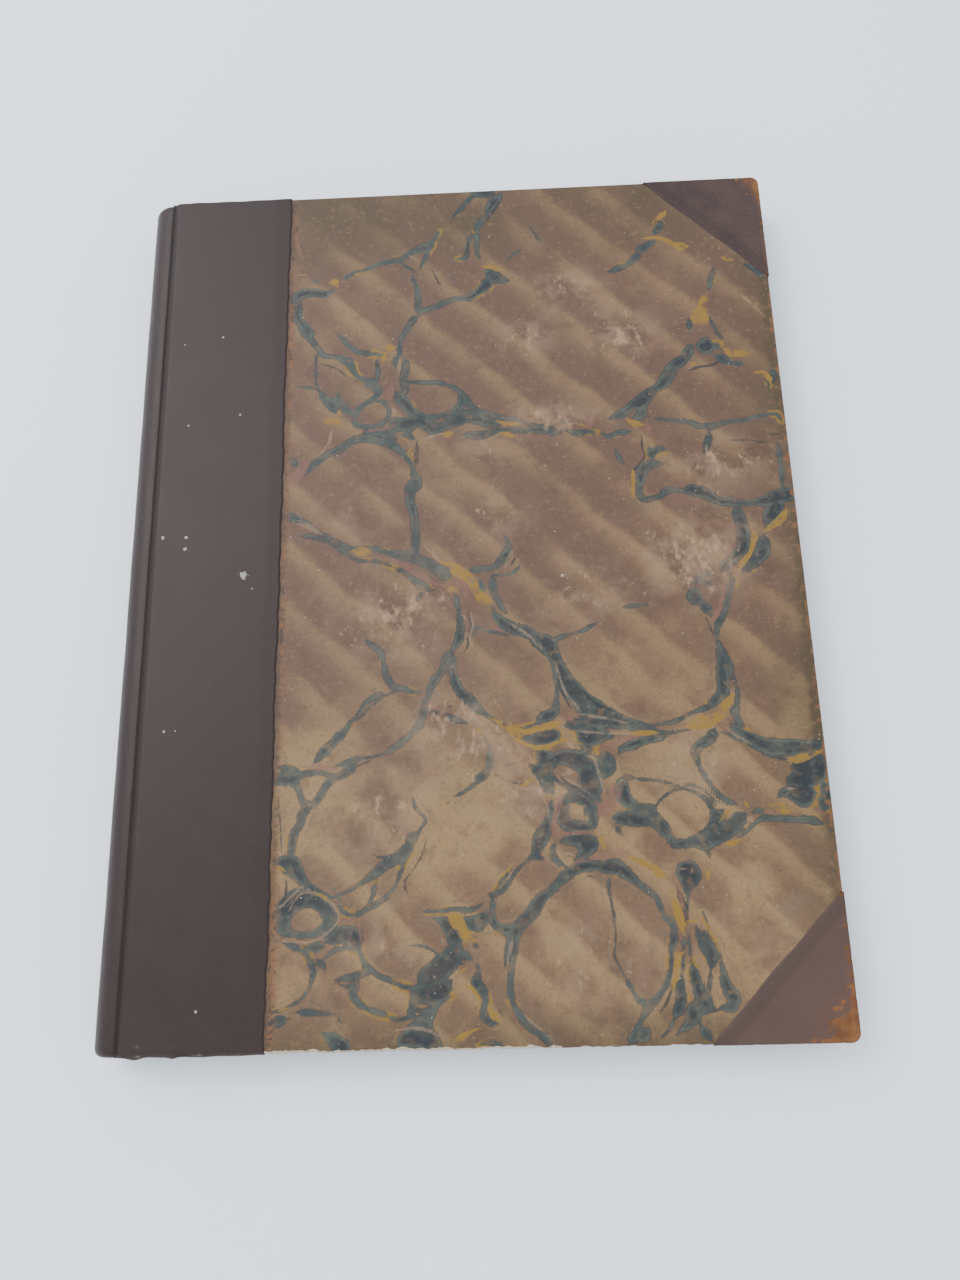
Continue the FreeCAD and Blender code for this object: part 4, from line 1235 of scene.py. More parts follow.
52.5,24.2,1.1/54,24,.7; 52.5,21.6,.3/53.5,20.6,.7/54.5,19.5,.5/55,18.4,.3; 54.6,21.5,.5/57,23.2,.35/60,23.6/
62.5,22.5,.5; 57.5,16,.35/59,15.1/62,14.7,.3; 62.5,16.5,.45/61.8,14,.7/61.8,12,.8/63.5,10.5,.45/66,9.3,.3/
69,8.5/72,7.4/75,7.6; 75.8,12.5,.7/76.2,10.5,.9/75.5,8.5,.6/77.5,7.3,.5; 76.5,9.5,.6/79,9,.5/81,9.8,.3;
75,5.8,.4/77.5,6.8,.7/80,8.3/81.5,9.8,.4; 80.2,5.2,.4/80,7.2,.6/81,9,.45/83,11.4,.3/86,12.5; 42,31.5,.7/
43.2,29,.9; 42.2,7.4,.9/44.5,7.8/46.5,8,.35; 66.2,45.5,.2/68,45/70,44.8/71.5,43.8; 111,66.6,.8/
110.9,64.6,.5/112.4,62.5,.35/114.5,61.3/117,60.6,.5/119.2,60,1; 112,68.2,.9/115,68,1.1/118,67.2,1.3/
119.2,65,1.2/119.2,62.6/121.2,64,1.3/121.6,67,1.1/121.8,60/122.3,58,.7; 107.3,69.6,.8/109,69.4,1.2/111,68/
112,66.4,.7; 105.8,66.2,.6/107.5,65.2,.9/109.5,63.4,.7/111.3,61.3,.35; 108,63,.35/109.5,61.3,.8/
111.3,59.8,.5; 125,63.6,1.6/125,66,1.9/125.2,68.6,1.4; 114,58.4,.8/116.5,59/119,57.5,1/121,55.5,.7/
122,53,.5; 113.7,57,.9/113.4,54,1.1/113.1,51.5,.9; 113.6,50.7,.8/117,51.3,1/120.4,51,.8; 119,54,1/
119.4,56,.8; 113,47.6,1/117,48,1.2/121,48,1; 129,63,.9/128.3,60.5,1.2/128.5,58/130.3,56,.9/133,55/
136,55.4,.8; 126,53,.9/129,53.2,1.2/132,52.5/135,51.8,.9/137,50,.8; 119.5,76,1/122,75.2,1.4/124,73.6,1.3/
121.5,71.8,1.1; 108.5,78.8,.9/111,79.2,1.2/113,80.3,.7/113.1,83.5,.4; 106.5,73.4,1.1/109,73.3,1.5/112,73.8/
113.4,74.8,.9; 118,81,1.1/121,80.4,1.4/125,79.2,1.2/129,77.8,1; 115.6,86.8,1.2/117.6,84,1.4/120.4,82;
86.8,95.6,.7/86.8,91,.8/88.2,87,1/90.6,84.2/94,81,.9; 58,184.5,.6/59.5,182,.9/60.3,179.8,.6/62,178,.5/
65,177/66.6,174.6,.8/67,172.8,.6/65.5,171.2,.5/64.3,171,.4; 64,161,.6/67,160.8,.7/70,161,.9/72,162.5,1.2/
71.5,164.3,.9/74,164,.8/76,162,1/75,160,.9/77,158.5,.8; 72,173,.8/73.5,170.5,1.1/75.3,168/77,166.3,.9/
79,165.2,.8/81,164.8; 80.5,162.5,.8/83,161.3,1/86,162/89,162.3,.9; 60,164.5,.8/61.5,163.3,.6/64,162.3,.5/
67,162.8/69.4,164.5; 141,39,1.4/144,39.2,1.8/144.5,37.5,1.2/142.8,36,1.1; 149.4,19.5,.3/149.8,15.5,.5/
150.6,12.5,.9/151.8,10,1/151.2,8,.7/148.5,8.2,.4; 140,46,.9/143,46.3/146,47.2,1.1/149,48.5,1.5/152,49.8,1.3;
139.8,15.5,.35/140.3,18/140.6,21.5/141.3,25; 146.8,17,.4/146.3,14.5/146,11.5/146.6,8.6; 142.5,18.5,.3/
142.2,21.5/142.4,25; 137.5,6.5,.4/136,4/134,2; 148.5,8.2,.4/146,7.6/143.6,7/143.2,5; 141.9,9,.5/143.2,8.2/
144.5,9; 149.3,19.6,.25/148.3,23/147,26.5/146,30; 150.4,54,.9/151.4,52,1.1/150.5,50,1/148,48.5,.8;
156,52.6,1.6/158,51,1.4
"""

OCHRE_TOUCHES = """
42,43.5,.7/44,42.5; 52,36.8,.5/55,35.3; 47.5,10.8,.3/44,9.8; 85,30.8,.9/86.5,28.8,1/88.3,26,.8/89.5,24.5,.6;
79,31,.4/84,30.8,.5; 60.5,125.8,.8/63,125.6,1.1/65,124.8,.7; 84,121.7,.5/87,121/90,119.9; 84.5,115,.6/
86.5,114.2,.9/88,113.5; 69.3,187.5,1.2/71.5,187.5,1.3; 69,185,.9/68.3,183; 55.5,164.5,1.8/55.7,164.3;
51,165.3,.7/55,164.7,1; 56,168,.6/55.6,165,.9; 84.5,159.5,.4/86.5,159.5,.9/88,160,.4; 76.3,156.3,.6/76,154/
76.5,152,.3; 43.5,213,.5/45.5,212.8,.4; 52.5,209.8,.7/54.3,210,.9/55,208.5,.6; 86.5,31,.9/87.5,29.3,1/
88.5,27,.8/89.5,25.3/91,24.7; 88,14.5,.5/90,14,.4/91.3,12,.3; 94.3,8.8,.9/95,7.7/96.3,6.5,.6; 86,2.5,.8/
89,4,.5/91.5,5,.3; 87,17.3,.4/88.8,18.5; 122.5,47.5,1/123.3,45.8,.8; 129,43.5,.4/132,42.3,.7/134.5,41,.8/
136.5,39,1/137.5,38.5,.5; 96,79,.3/99.5,77,.6/101.5,75.8,.8/105,75.3,.5/108.5,75.6,.4/111.5,76.7,.7/
114,77.2,.6; 101,74.5,.4/103,73/105,71.8,.5/108,71/111.5,71.5/114,72.8/116,72.7,.4; 105.8,63,.8/104.5,62,.5/
103,61.3,.3; 122.8,69.5,.7/123,69.2; 123,48,1/123.2,47.6; 87,118.8,.8/89.5,118.3,1.3/91.5,117,1.2/
92.8,115,1/93.5,113/95,111,1.3/97,110.3,1.2; 86.5,114,1/88,114.3,.7; 137,146,.6/136.8,142,.5/136.3,138.5;
100.5,162.8,.6/103,162,.5/106.5,161.8,.7; 101,159.3,.4/103.5,158.5,.7/105.5,157.8,.5; 122.5,161,.9/
124,160.7,.7; 86.5,160,.6/87,160; 95,225.5,.6/95.2,225; 97.5,213,.4/100,212.8,.5/102.5,212,.9/
103.5,211.8,.6; 139,35,.5/139.7,32,.7/140.3,29.5,.9/140.7,27,.7/141,25,.4; 142.8,28,1/144,27.8,.5;
145.3,30,.35/146,28/147,26/148.5,23/149,21; 140.5,21,.8/139.5,20,.7/138.6,17.5/138.2,15,.5/137.5,13,.4;
141.2,11.5,.5/140.9,9.5,.4; 151.5,45,.3/154,45.8,.6/156.5,46.8,.4; 148.3,40,.5/147.8,37.5,.4; 158.3,83,.8/
157,81.5/155.5,80,.9/154.5,78,1.1/152,76.5,1.3/149.5,76/147.5,75.5,1/145,75.3,.4; 149.5,78,1/150,77.6;
132,74,.5/135,73.8/138,74,.7; 170.5,66,.7/173.5,66.3,1/176.5,67.3,.6/179,68,.4; 158.8,55.5,1/159,55.2;
154.5,54,1/153.5,53,.7/152,51.5,.4; 165,55,.8/167.5,54.3,1.2/170,53.5,1; 168,127,1.2/167.3,124,.6/166,120.8/
164.5,119.2,.7/163,117,.5; 171,127.5,.7/173.5,129,.8/175.5,130.5/177,133,1; 136.5,161.7,.7/138.5,160.3,.9/
140.5,160; 155.3,177.8,.5/156.5,178.5; 158.5,195,1.3/158.5,193,1.8/160,192.5,1.5/159.5,191,1; 165,182.5,.6/
167,181.5,1.2/169,181,.8/172,180.8,.7; 173,174.8,.8/175.5,174.3,.7/176.8,172.5,.6/176.8,171,.5;
148,225.5,.4/149.5,227,.6/151,228,.8/152.3,229.5,.5; 145,220.3,.5/148.5,220.3,.4/151,219.5,.7/153.5,218/
155.5,217,1.2/157.5,217,.9; 167.5,212.5,.8/170,211.5; 161.5,200.5,.9/160.5,198,1.2/159.8,195.5/159,193.5,1.6
"""

RED_TOUCHES = """
62.8,30,.25/63,27/64,24/65.5,22.3; 47.5,68,.4/50,67.8,.6/52,67.7,.8/54.5,67.2,.7/57,67,.5; 78.5,86.3,.7/
79,86.1; 79.5,82.7,.6/83,82.5; 66,83,.5/66.3,83.2; 66.5,123.7,.4/69.5,123.2,.5/72.5,122.3,.6/74.5,121/
76.5,119/79,117.8,.8/81,116.3,.5/83.5,115.3; 70.8,175.5,.6/70.6,173,.9/70,171.2,.7; 70,174,.5/68,172/
67,171.3; 47,153.5,.8/46.5,151,1/44.5,148.5,1.2/42.5,147.5/44,145.5,.8; 42,228,.4/42.8,224/44,219.5;
115,41.8,.3/118,43.2,.5/121,43.5/124,43.8,.6/127,44.5,.7/130,44,.5; 116.5,78.3,1.2/117.5,77,.8; 124,70.5,.4/
127.5,71.8/131,72.7/135,73.3; 103,69.5,1.5/105.5,67.5,1.2; 101,68.5,.8/101.4,68.3; 126.5,61,1.4/127,59,1.3/
125.5,57/124,55,1.6/122.8,53.5,1; 113.3,59.5,.6/112.5,56/111.5,53,.5/111,50.5/113,49.3,.4/117,49.6/
121,49.5,.5; 90.5,80.5,.4/94.5,78.7; 88.5,116.5,1/91,115.8,.8/90.5,112,1; 91.5,111.3,.9/91.6,111;
97,103.2,.5/101,101.5; 125,160,1/127,163; 154.3,76.3,.5/154.6,76; 175.5,57,.5/176,54.5/177.5,52.5;
158.5,112,.4/157.5,108/156.5,105/154.5,102.8/153.8,101.5; 142,160.5,.6/142,158,.8/143,156.5,.5;
156.8,198.2,.7/157,197.8; 148.3,40,.3/147.8,37.5; 136.7,3.7,.9/137,3.5; 140.2,36,.3/141,33.5,.4/141.5,31;
84.5,33.5,.3/88,34/91,35.5/94,36.5; 60,162,.4/64,161.6/68,161.8/71,162.5
"""

PALE_LINES = """
42,33.5,.25/44,34/47,37/49,38.3/52,36.5/56,34.3/57.3,32.5/58,30.5/56,28/53,26/50,25.3/46,25.6/43.8,25.4;
45,137.2,.3/46.5,135.3/49,133.3/52,130.8; 45,134.3,.3/48,133/51,131.5; 51,57.5,.3/50.3,55.5/49,53;
79.8,126.5,.3/81,125/83,122.8/84,121.5; 71.5,167.5,1.2/71.7,167.3; 54,162,.4/53.5,159/52.5,156.5/50.5,154.8;
80,158.2,.3/83,159.2/86,160; 73,183,.3/73,179; 98.6,19,.25/99.2,22/100,25; 102,7.8,.25/104.5,5.6/107,3.6/
109,1.5; 97.5,37.2,.25/99.3,39/101,41.3; 113.5,93,.3/114.5,88/116,84.5/119,80.5; 119,79.3,.3/123,78.5/
127,77.8/131,76.5; 118,75,.3/121,74.5/126,74.2/131,73.8; 101,61.8,.3/104,60.8/107,60.7/108.5,59/109.3,57;
116,71.5,1.4/116.3,71.2; 120,68.5,.3/122,68/122.7,65/123.5,62/124,59.5; 101,119.5,.3/102.5,122.5/
103.5,124.3; 102,104,.3/105,102/108,99.3/110,97; 91.6,108,.25/92.2,104/91.4,101/91.6,98.5; 141.4,40.2,.8/
142.2,40.2; 144.2,39.5,.5/144.4,40.2; 169.7,58.8,1/170.4,58.8; 143.5,60,.25/146.5,59.5/149.5,57.8/
153.5,54.3; 171.5,200,.4/175,195.5/177,193; 72.5,4.9,.3/76,5.3/80,4.6/82.6,3; 113,64,.25/115,62.4/118,61/
120.5,59; 114.2,64.5,1.3/116,64.6,1.2; 116.4,54.5,1.3/117.4,54.5; 114.6,44.6,.9/115.3,44.4; 76.5,217.6,.9/
78,216.8,.7; 45.5,32.5,.2/47.5,35.8/50,37/53.5,35.6; 155.3,74.8,.25/158,72.6/161.5,70.4
"""

DARK_LINES = """
79.5,49,.25/78.5,45.5/76.5,42.3/74.5,39.8/74,38/75,35.5; 44.8,40,.3/44.8,37/44,35/42.5,34; 66,69.3,.3/
63.5,68.3/62,67.5; 77.8,157.5,.5/77.8,153/77.2,149.5; 134.3,7.8,.7/135,8.5,.4/136.5,11,.35/137.7,14;
96.7,8.3,.7/96.9,8; 119.3,39,.6/119.6,39; 113.8,90,.3/114.3,86.5/115.5,83.5/117,80.5; 97.3,64.3,.6/
99,63.5,.5/101,62.3,.4/103,62.3; 95.5,75.5,.25/98,74.8; 97.5,73,.25/99.5,71; 101.5,72.3,.25/103,70.3;
100,66.8,.25/102.3,67.3; 103,120.5,.8/104,122,.7; 91,108,.3/91.6,104/90.8,101/90.9,98.5/89.5,96.5;
140.2,36,.3/141,33.5,.6/141.7,31,.7/142,28.5,.5/141.3,26,.4; 153,104,.3/154,101/154.8,99; 175,155.5,.3/
178.5,155.5; 163,154.3,.25/169,154/174,153; 140,156.5,.3/140,153/140.5,150.5/138.5,148/137,146;
155,176.3,.35/158,177.3/161,177.5/163,178.5; 113,64,.35/115,61.8/118,60/120.5,58; 62,176.4,.25/58,179/
55,181.5/51,183; 42.2,60,.2/43,52/43.4,47; 104,236.5,.3/100.6,231/98,227.6; 82,214,.2/84,210/85.5,206;
127.6,79.6,.3/123,82.4/119.8,86
"""

# Rubbed places on the sheet: x, y, radius along x, radius along y, and strength.
SCUFFS = ((137.0, 189.0, 9.0, 9.0, 0.85), (122.0, 205.0, 10.0, 6.0, 0.75), (109.0, 189.0, 8.0, 6.0, 0.8),
          (72.0, 107.0, 16.0, 11.0, 0.85), (152.0, 121.0, 16.0, 11.0, 0.9), (116.0, 163.0, 12.0, 5.0, 0.85),
          (160.0, 148.0, 14.0, 8.0, 0.75), (96.0, 133.0, 12.0, 9.0, 0.5), (120.0, 112.0, 12.0, 8.0, 0.6),
          (88.0, 76.0, 14.0, 12.0, 0.75), (147.0, 66.0, 9.0, 8.0, 0.55), (66.0, 55.0, 16.0, 12.0, 0.6),
          (60.0, 137.0, 10.0, 9.0, 0.4), (105.0, 60.0, 12.0, 10.0, 0.6), (120.0, 20.0, 14.0, 12.0, 0.5),
          (70.0, 25.0, 12.0, 10.0, 0.5), (160.0, 30.0, 12.0, 10.0, 0.45), (95.0, 155.0, 10.0, 6.0, 0.4))

# Places of the waves' crests, across them.
WAVE_CREASES = (60.0, 72.0, 85.0, 97.0, 110.0, 122.5, 135.0, 147.5, 159.0, 169.5, 184.0, 197.0, 210.0, 224.5,
                238.0, 251.0, 263.0, 276.0, 289.0)


def read_strokes(text: str) -> list[Grid]:
    """Strokes as arrays of x, y and half-width, from one of the texts above."""
    found = []
    for line in "".join(text.split()).split(";"):
        rows, width = [], 0.0
        for point in line.split("/"):
            values = [float(v) for v in point.split(",")]
            width = values[2] if len(values) > 2 else width
            rows.append((values[0], values[1], width))
        found.append(np.array(rows))
    return found


def soft_path(points: Grid, step: float = 0.7) -> Grid:
    """A Catmull-Rom curve through points, drawn out thin at both ends.

    Between two points it is the cubic whose slopes at both are half the way between their neighbours.

    Args:
        points: x, y and half-width of each point.
        step: greatest distance between two points of the curve.

    Returns:
        The curve's points, in the same form.
    """
    ends = np.concatenate([[2 * points[0] - points[1]], points, [2 * points[-1] - points[-2]]])
    before, first, second, after = (ends[i:len(ends) - 3 + i][:, None] for i in range(4))
    count = max(2, int(np.ceil(np.hypot(*(second - first)[:, 0, :2].T).max() / step)))
    u = np.linspace(0.0, 1.0, count, endpoint=False)[None, :, None]
    curve = first + 0.5 * u * (second - before + u * (2 * before - 5 * first + 4 * second - after
                                                      + u * (3 * (first - second) + after - before)))
    path = np.concatenate([curve.reshape(-1, 3), points[-1:]])
    along = np.concatenate([[0.0], np.cumsum(np.hypot(*np.diff(path[:, :2], axis=0).T))])
    path[:, 2] *= 0.35 + 0.65 * smooth(np.minimum(along, along[-1] - along) / 1.8)
    return path


@dataclass
class Ink:
    """One colour of the marbling, as fields on the sheet's grid.

    body is the half-width less the distance to the nearest stroke, joined between strokes by a smooth
    maximum. line holds, for the nearest stroke, the distance with its sign, the distance, and the half-width.
    reach is how far from a stroke both are worked out, blend how softly strokes join, and swell how much
    wider than drawn a stroke's body is.
    """

    x: Grid
    y: Grid
    reach: float = 3.4
    blend: float = 0.8
    swell: float = 1.16
    body: Grid = field(init=False)
    line: Grid = field(init=False)

    def __post_init__(self) -> None:
        """Starts with a bare sheet."""
        shape = (self.y.size, self.x.size)
        self.body = np.full(shape, -self.reach)
        self.line = np.stack([np.full(shape, self.reach), np.full(shape, self.reach), np.zeros(shape)], -1)

    def lay(self, path: Grid) -> None:
        """Adds one stroke to both fields, in the window that it can reach."""
        low, high = path[:, :2].min(axis=0) - self.reach, path[:, :2].max(axis=0) + self.reach
        i0, i1 = np.searchsorted(self.x, (low[0], high[0]))
        j0, j1 = np.searchsorted(self.y, (low[1], high[1]))
        if i1 <= i0 or j1 <= j0:
            return
        window = np.s_[j0:j1, i0:i1]
        at = np.stack(np.meshgrid(self.x[i0:i1], self.y[j0:j1]), -1)[:, :, None]
        start, run = path[:-1], np.diff(path, axis=0)
        length = np.maximum((run[:, :2] ** 2).sum(-1), 1e-9)
        share = np.clip(((at - start[:, :2]) * run[:, :2]).sum(-1) / length, 0.0, 1.0)
        off = at - start[:, :2] - share[..., None] * run[:, :2]
        away = np.hypot(off[..., 0], off[..., 1])
        width = start[:, 2] + share * run[:, 2]
        body, old = (self.swell * width - away).max(-1), self.body[window]
        h = np.clip(0.5 + 0.5 * (body - old) / self.blend, 0.0, 1.0)
        self.body[window] = old + (body - old) * h + self.blend * h * (1.0 - h)
        nearest = away.argmin(-1)[..., None]
        side = np.sign(run[:, 0] * off[..., 1] - run[:, 1] * off[..., 0])
        pick = [np.take_along_axis(v, nearest, -1)[..., 0] for v in (side * away, away, width)]
        line = self.line[window]
        self.line[window] = np.where((pick[1] < line[..., 1])[..., None], np.stack(pick, -1), line)


INKS = {"teal": TEAL_VEINS, "ochre": OCHRE_TOUCHES, "red": RED_TOUCHES, "pale": PALE_LINES,
        "dark": DARK_LINES}


@dataclass(frozen=True)
class Marbling:
    """The pattern of one sheet: a shell marbling of veins round large stones, with waves across it.

    wave_x and wave_y are the direction across the waves. A wave falls off slowly on one side and fast on the
    other.
    """

    side: Side
    half_turn: tuple[float, float] = (221.0, 240.0)
    left: float = 89.0
    wave_x: float = 0.695
    wave_y: float = 0.719
    wave_fast: float = 1.1
    wave_slow: float = 3.6
    seam_at: float = 41.9
    seam_width: float = 0.85
    fore_at: float = 176.9

    def fields(self, x: Grid, y: Grid) -> dict[str, Grid]:
        """The fields of every ink, of the waves, the tone and the scuffs.

        Args:
            x: unfolded places of the columns, in millimetres from the middle.
            y: the same for the rows.

        Returns:
            A field for each name, on the grid of rows and columns.
        """
        made = {}
        for name, text in INKS.items():
            ink = Ink(x + self.left, y + BOOK.half_height)
            for stroke in read_strokes(text):
                path = soft_path(stroke)
                if self.side is Side.BACK:
                    path[:, :2] = np.array(self.half_turn) - path[:, :2]
                ink.lay(path)
            made[f"{name}_body"], made[f"{name}_line"] = ink.body, ink.line
        u, v = np.meshgrid(x + self.left, y + BOOK.half_height)
        if self.side is Side.BACK:
            u, v = self.half_turn[0] - u, self.half_turn[1] - v
        across = self.wave_x * u + self.wave_y * v
        across = across + 0.9 * wavy(self.wave_y * u - self.wave_x * v, 51, (83.0, 37.0, 19.0))
        waves = sum(bell(across, crest, np.where(across > crest, self.wave_fast, self.wave_slow))
                    for crest in WAVE_CREASES)
        made["wave"] = waves * (0.6 + 0.4 * smooth((v - 40.0) / 45.0))
        made["tan"] = smooth((112.0 - v + 9.0 * wavy(u, 52, (90.0, 31.0))) / 78.0)
        made["scuff"] = np.clip(sum(s * np.exp(-((u - a) / p) ** 2 - ((v - b) / q) ** 2)
                                    for a, b, p, q, s in SCUFFS), 0.0, 1.0)
        made["seam"] = self.seam_wear(u, v)
        rim = 0.7 * wavy(v, 54, (47.0, 19.0, 7.0, 3.1))
        made["edge"] = np.maximum(smooth((np.abs(v - BOOK.half_height) - 118.0) / 2.2),
                                  smooth((u - self.fore_at + rim) / 3.0))
        made["border"] = np.maximum.reduce([
            0.8 * smooth((u - 158.0) / 26.0), smooth((v - 206.0) / 30.0), 0.8 * smooth((14.0 - v) / 14.0),
            1.3 * smooth((u - self.fore_at + 2.4 + rim) / 4.0)])
        # Painted shadow that the raised leather edge casts on the sheet along the seam.
        made["seam_shade"] = smooth((self.seam_at + 0.6 + 0.4 * wavy(v, 55, (31.0, 9.0)) - u) / 1.2)
        made["torn"] = smooth((1.3 - v) / 0.7) * smooth((v + 0.9) / 0.5) * smooth((114.0 - u) / 6.0)
        return made

    def seam_wear(self, u: Grid, v: Grid) -> Grid:
        """How rusty the sheet is beside the leather: a bell along the seam, stronger in three places."""
        place = self.seam_at + 0.35 * wavy(v, 53, (70.0, 21.0, 8.0))
        stronger = np.maximum.reduce([smooth((45.0 - v) / 20.0), bell(v, 108.0, 12.0), bell(v, 190.0, 14.0)])
        return (0.6 + 0.4 * stronger) * bell(u, place, self.seam_width)


@dataclass(frozen=True)
class MarbledFinish:
    """The marbled paper: browned stones, inked veins, waves, scuffs and worn edges."""

    name: str = "marbled_paper"
    mauve: Triple = (0.082, 0.042, 0.026)
    tan: Triple = (0.205, 0.125, 0.052)
    wave_tone: Triple = (0.180, 0.109, 0.047)
    olive: Triple = (0.050, 0.032, 0.014)
    teal: Triple = (0.019, 0.029, 0.029)
    teal_light: Triple = (0.052, 0.060, 0.047)
    teal_dark: Triple = (0.006, 0.011, 0.015)
    ochre: Triple = (0.185, 0.101, 0.010)
    red: Triple = (0.140, 0.057, 0.042)
    pale: Triple = (0.270, 0.190, 0.115)
    scuffed: Triple = (0.300, 0.185, 0.112)
    fleck: Triple = (0.430, 0.350, 0.250)
    rust: Triple = (0.135, 0.056, 0.020)
    # Dark specks of dirt, and the colour of the painted shadow beside the leather.
    soot: Triple = (0.022, 0.014, 0.010)
    edge_scale: float = 300.0
    roughness: float = 0.55
    specular: float = 0.3
    fibre_height: float = 0.03

    def ink(self, s: Shader, name: str, wobble: object, least: float) -> NodeSocket:
        """The mask of one ink, from its two fields."""
        line = s.add("Attribute", attribute_name=f"{name}_line").outputs["Vector"]
        inputs = {"Body": s.field(f"{name}_body"), "Line": line, "Wobble": wobble, "Least": least}
        return s.group(ink_group(), inputs).outputs["Mask"]

    def ground(self, s: Shader) -> NodeSocket:
        """The stones' colour: mauve to tan, with pale waves, browned borders and fine specks."""
        wave = s.field("wave")
        share = s.plus(s.field("tan"), s.times(s.ripple(34.0, 4.0), 2.0))
        ground = s.patched(s.mix(s.step(share, 0.0, 1.0), self.mauve, self.tan),
                           (self.mauve, s.step(wave, 0.75, 0.05), 40.0, 0.38, 0.6, 0.8, (9.0, 0.0, 0.0), 4.0),
                           (self.wave_tone, wave, 60.0, 0.28, 0.56, 0.66),
                           (self.olive, s.field("border"), 40.0, 0.2, 0.6, 0.9, (3.0, 3.0, 0.0)))
        return s.spotted(ground, (dimmed(self.mauve, 0.6), 1300.0, 0.5, 0.72, 0.4, (1.0, 2.0, 0.0)),
                         (self.wave_tone, 700.0, 0.52, 0.75, 0.35, (4.0, 2.0, 0.0)),
                         (dimmed(self.mauve, 0.75), 210.0, 0.52, 0.7, 0.4, (4.0, 7.0, 0.0), 4.0))

    def between(self, s: Shader, value: object, low: float, high: float, soft: float) -> NodeSocket:
        """A mask that is 1 from low to high and fades over soft on both sides."""
        return s.times(s.step(value, low - soft, low + soft), s.step(value, high + soft, high - soft))

    def veins(self, s: Shader, ground: NodeSocket, wobble: object, slow: object) -> NodeSocket:
        """The teal veins over the stones, soft at their edges, with thin threads beside them."""
        tail = s.field("tan")
        body = s.plus(s.plus(s.field("teal_body"), 0.08), s.times(slow, 1.3))
        body = s.plus(body, s.times(s.ripple(1100.0, 3.0), 0.7))
        near, far = self.between(s, body, -0.8, -0.68, 0.1), self.between(s, body, -1.35, -1.15, 0.12)
        colour = s.patched(ground, (self.pale, s.times(near, tail), 210.0, 0.5, 0.6, 0.3, (2.0, 0.0, 0.0)),
                           (self.teal_light, far, 85.0, 0.5, 0.6, 0.6, (7.0, 0.0, 0.0)))
        edge_low = s.add("MapRange", {"Value": tail, "To Min": -0.5, "To Max": -0.22}).outputs[0]
        thin = s.times(self.ink(s, "teal", wobble, 0.15), 0.78)
        mask = s.math("MAXIMUM", s.step(body, edge_low, 0.24, 0.94), thin)
        bare = s.mottle(300.0, 0.5, 0.66, 0.38, (7.0, 7.0, 0.0), 5.0)
        mask = s.times(mask, s.math("SUBTRACT", 1.0, bare))
        inside = s.spotted(self.teal, (self.teal_light, 150.0, 0.35, 0.66, 1.0, (0.0, 0.0, 0.0), 4.0))
        rim = self.between(s, body, -0.1, 0.2, 0.15)
        deep, streak = s.step(body, 0.35, 1.3), s.step(body, 0.3, 0.9)
        inside = s.patched(inside, (self.teal_dark, deep, 95.0, 0.3, 0.55, 0.95, (6.0, 1.0, 0.0)),
                           (self.teal_light, streak, 420.0, 0.52, 0.66, 0.45, (3.0, 3.0, 0.0), 4.0),
                           (self.teal_dark, rim, 70.0, 0.32, 0.55, 0.8, (0.0, 3.0, 0.0)))
        sliver = self.between(s, body, -0.55, 0.2, 0.2)
        return s.patched(s.mix(mask, colour, inside),
                         (self.ochre, sliver, 95.0, 0.57, 0.66, 0.75, (1.0, 6.0, 0.0)))

    def wear(self, s: Shader, colour: NodeSocket, rubbed: NodeSocket) -> NodeSocket:
        """The scuffs, the specks, the painted shadow beside the leather, the rusty seam and the worn edges,
        over the printed sheet.
        """
        seam, broad = s.field("seam"), s.field("scuff")
        colour = s.patched(colour, (self.scuffed, broad, 130.0, 0.4, 0.62, 0.5, (2.0, 9.0, 0.0), 4.0))
        colour = s.spotted(s.mix(s.times(rubbed, 0.7), colour, self.scuffed),
                           (self.fleck, 1100.0, 0.69, 0.75, 0.7, (0.0, 8.0, 0.0)),
                           (self.soot, 900.0, 0.7, 0.76, 0.6, (8.0, 8.0, 0.0)),
                           (self.fleck, 160.0, 0.73, 0.76, 0.7, (8.0, 1.0, 0.0), 5.0))
        # Painted shadow: the sheet is darkened beside the leather's raised edge.
        colour = s.mix(s.times(s.field("seam_shade"), 0.6), colour, self.soot)
        colour = s.patched(colour, (self.rust, seam, 330.0, 0.38, 0.56, 0.9, (0.0, 0.0, 3.0), 5.0),
                           (self.soot, seam, 900.0, 0.52, 0.6, 0.85, (2.0, 2.0, 3.0), 4.0))
        for key, strength, tint in (("edge", 0.56, self.rust), ("torn", 0.8, self.fleck)):
            inputs = {"Worn": s.times(s.field(key), strength), "Scale": self.edge_scale}
            worn = s.group(rubbed_group(), inputs).outputs["Mask"]
            colour = s.mix(s.times(worn, 0.85), colour, tint)
        return colour

    def make(self) -> Material:
        """The material."""
        material, s = new_material(self.name)
        slow, quick = s.ripple(330.0, 3.0), s.ripple(1500.0, 2.0, shift=(0.3, 0.0, 0.0))
        wobble = s.plus(s.times(slow, 1.1), s.times(quick, 0.7))
        colour = self.veins(s, self.ground(s), wobble, slow)
        over = (("pale", self.scuffed, 0.06, 0.3), ("dark", self.teal_dark, 0.1, 0.75),
                ("red", self.red, 0.1, 0.55), ("ochre", self.ochre, 0.16, 0.92))
        for name, tint, least, strength in over:
            ink = self.ink(s, name, wobble, least)
            colour = s.patched(colour, (tint, ink, 420.0, 0.3, 0.52, strength, (0.0, 0.0, 9.0), 4.0))
        scuff = s.ripple(300.0, 7.0, (1.25, 0.8, 1.0), rough=0.7, turn=0.6)
        rubbed = s.step(s.plus(s.field("scuff"), s.times(scuff, 4.4)), 0.72, 1.35)
        colour = self.wear(s, colour, rubbed)
        height = s.plus(s.noise(800.0, 4.0), s.times(rubbed, -0.8))
        gloss = s.plus(self.roughness, s.times(rubbed, 0.25))
        s.surface(base_color=colour, roughness=gloss, normal=s.bump(height, self.fibre_height, 0.6),
                  specular_ior_level=self.specular)
        return material


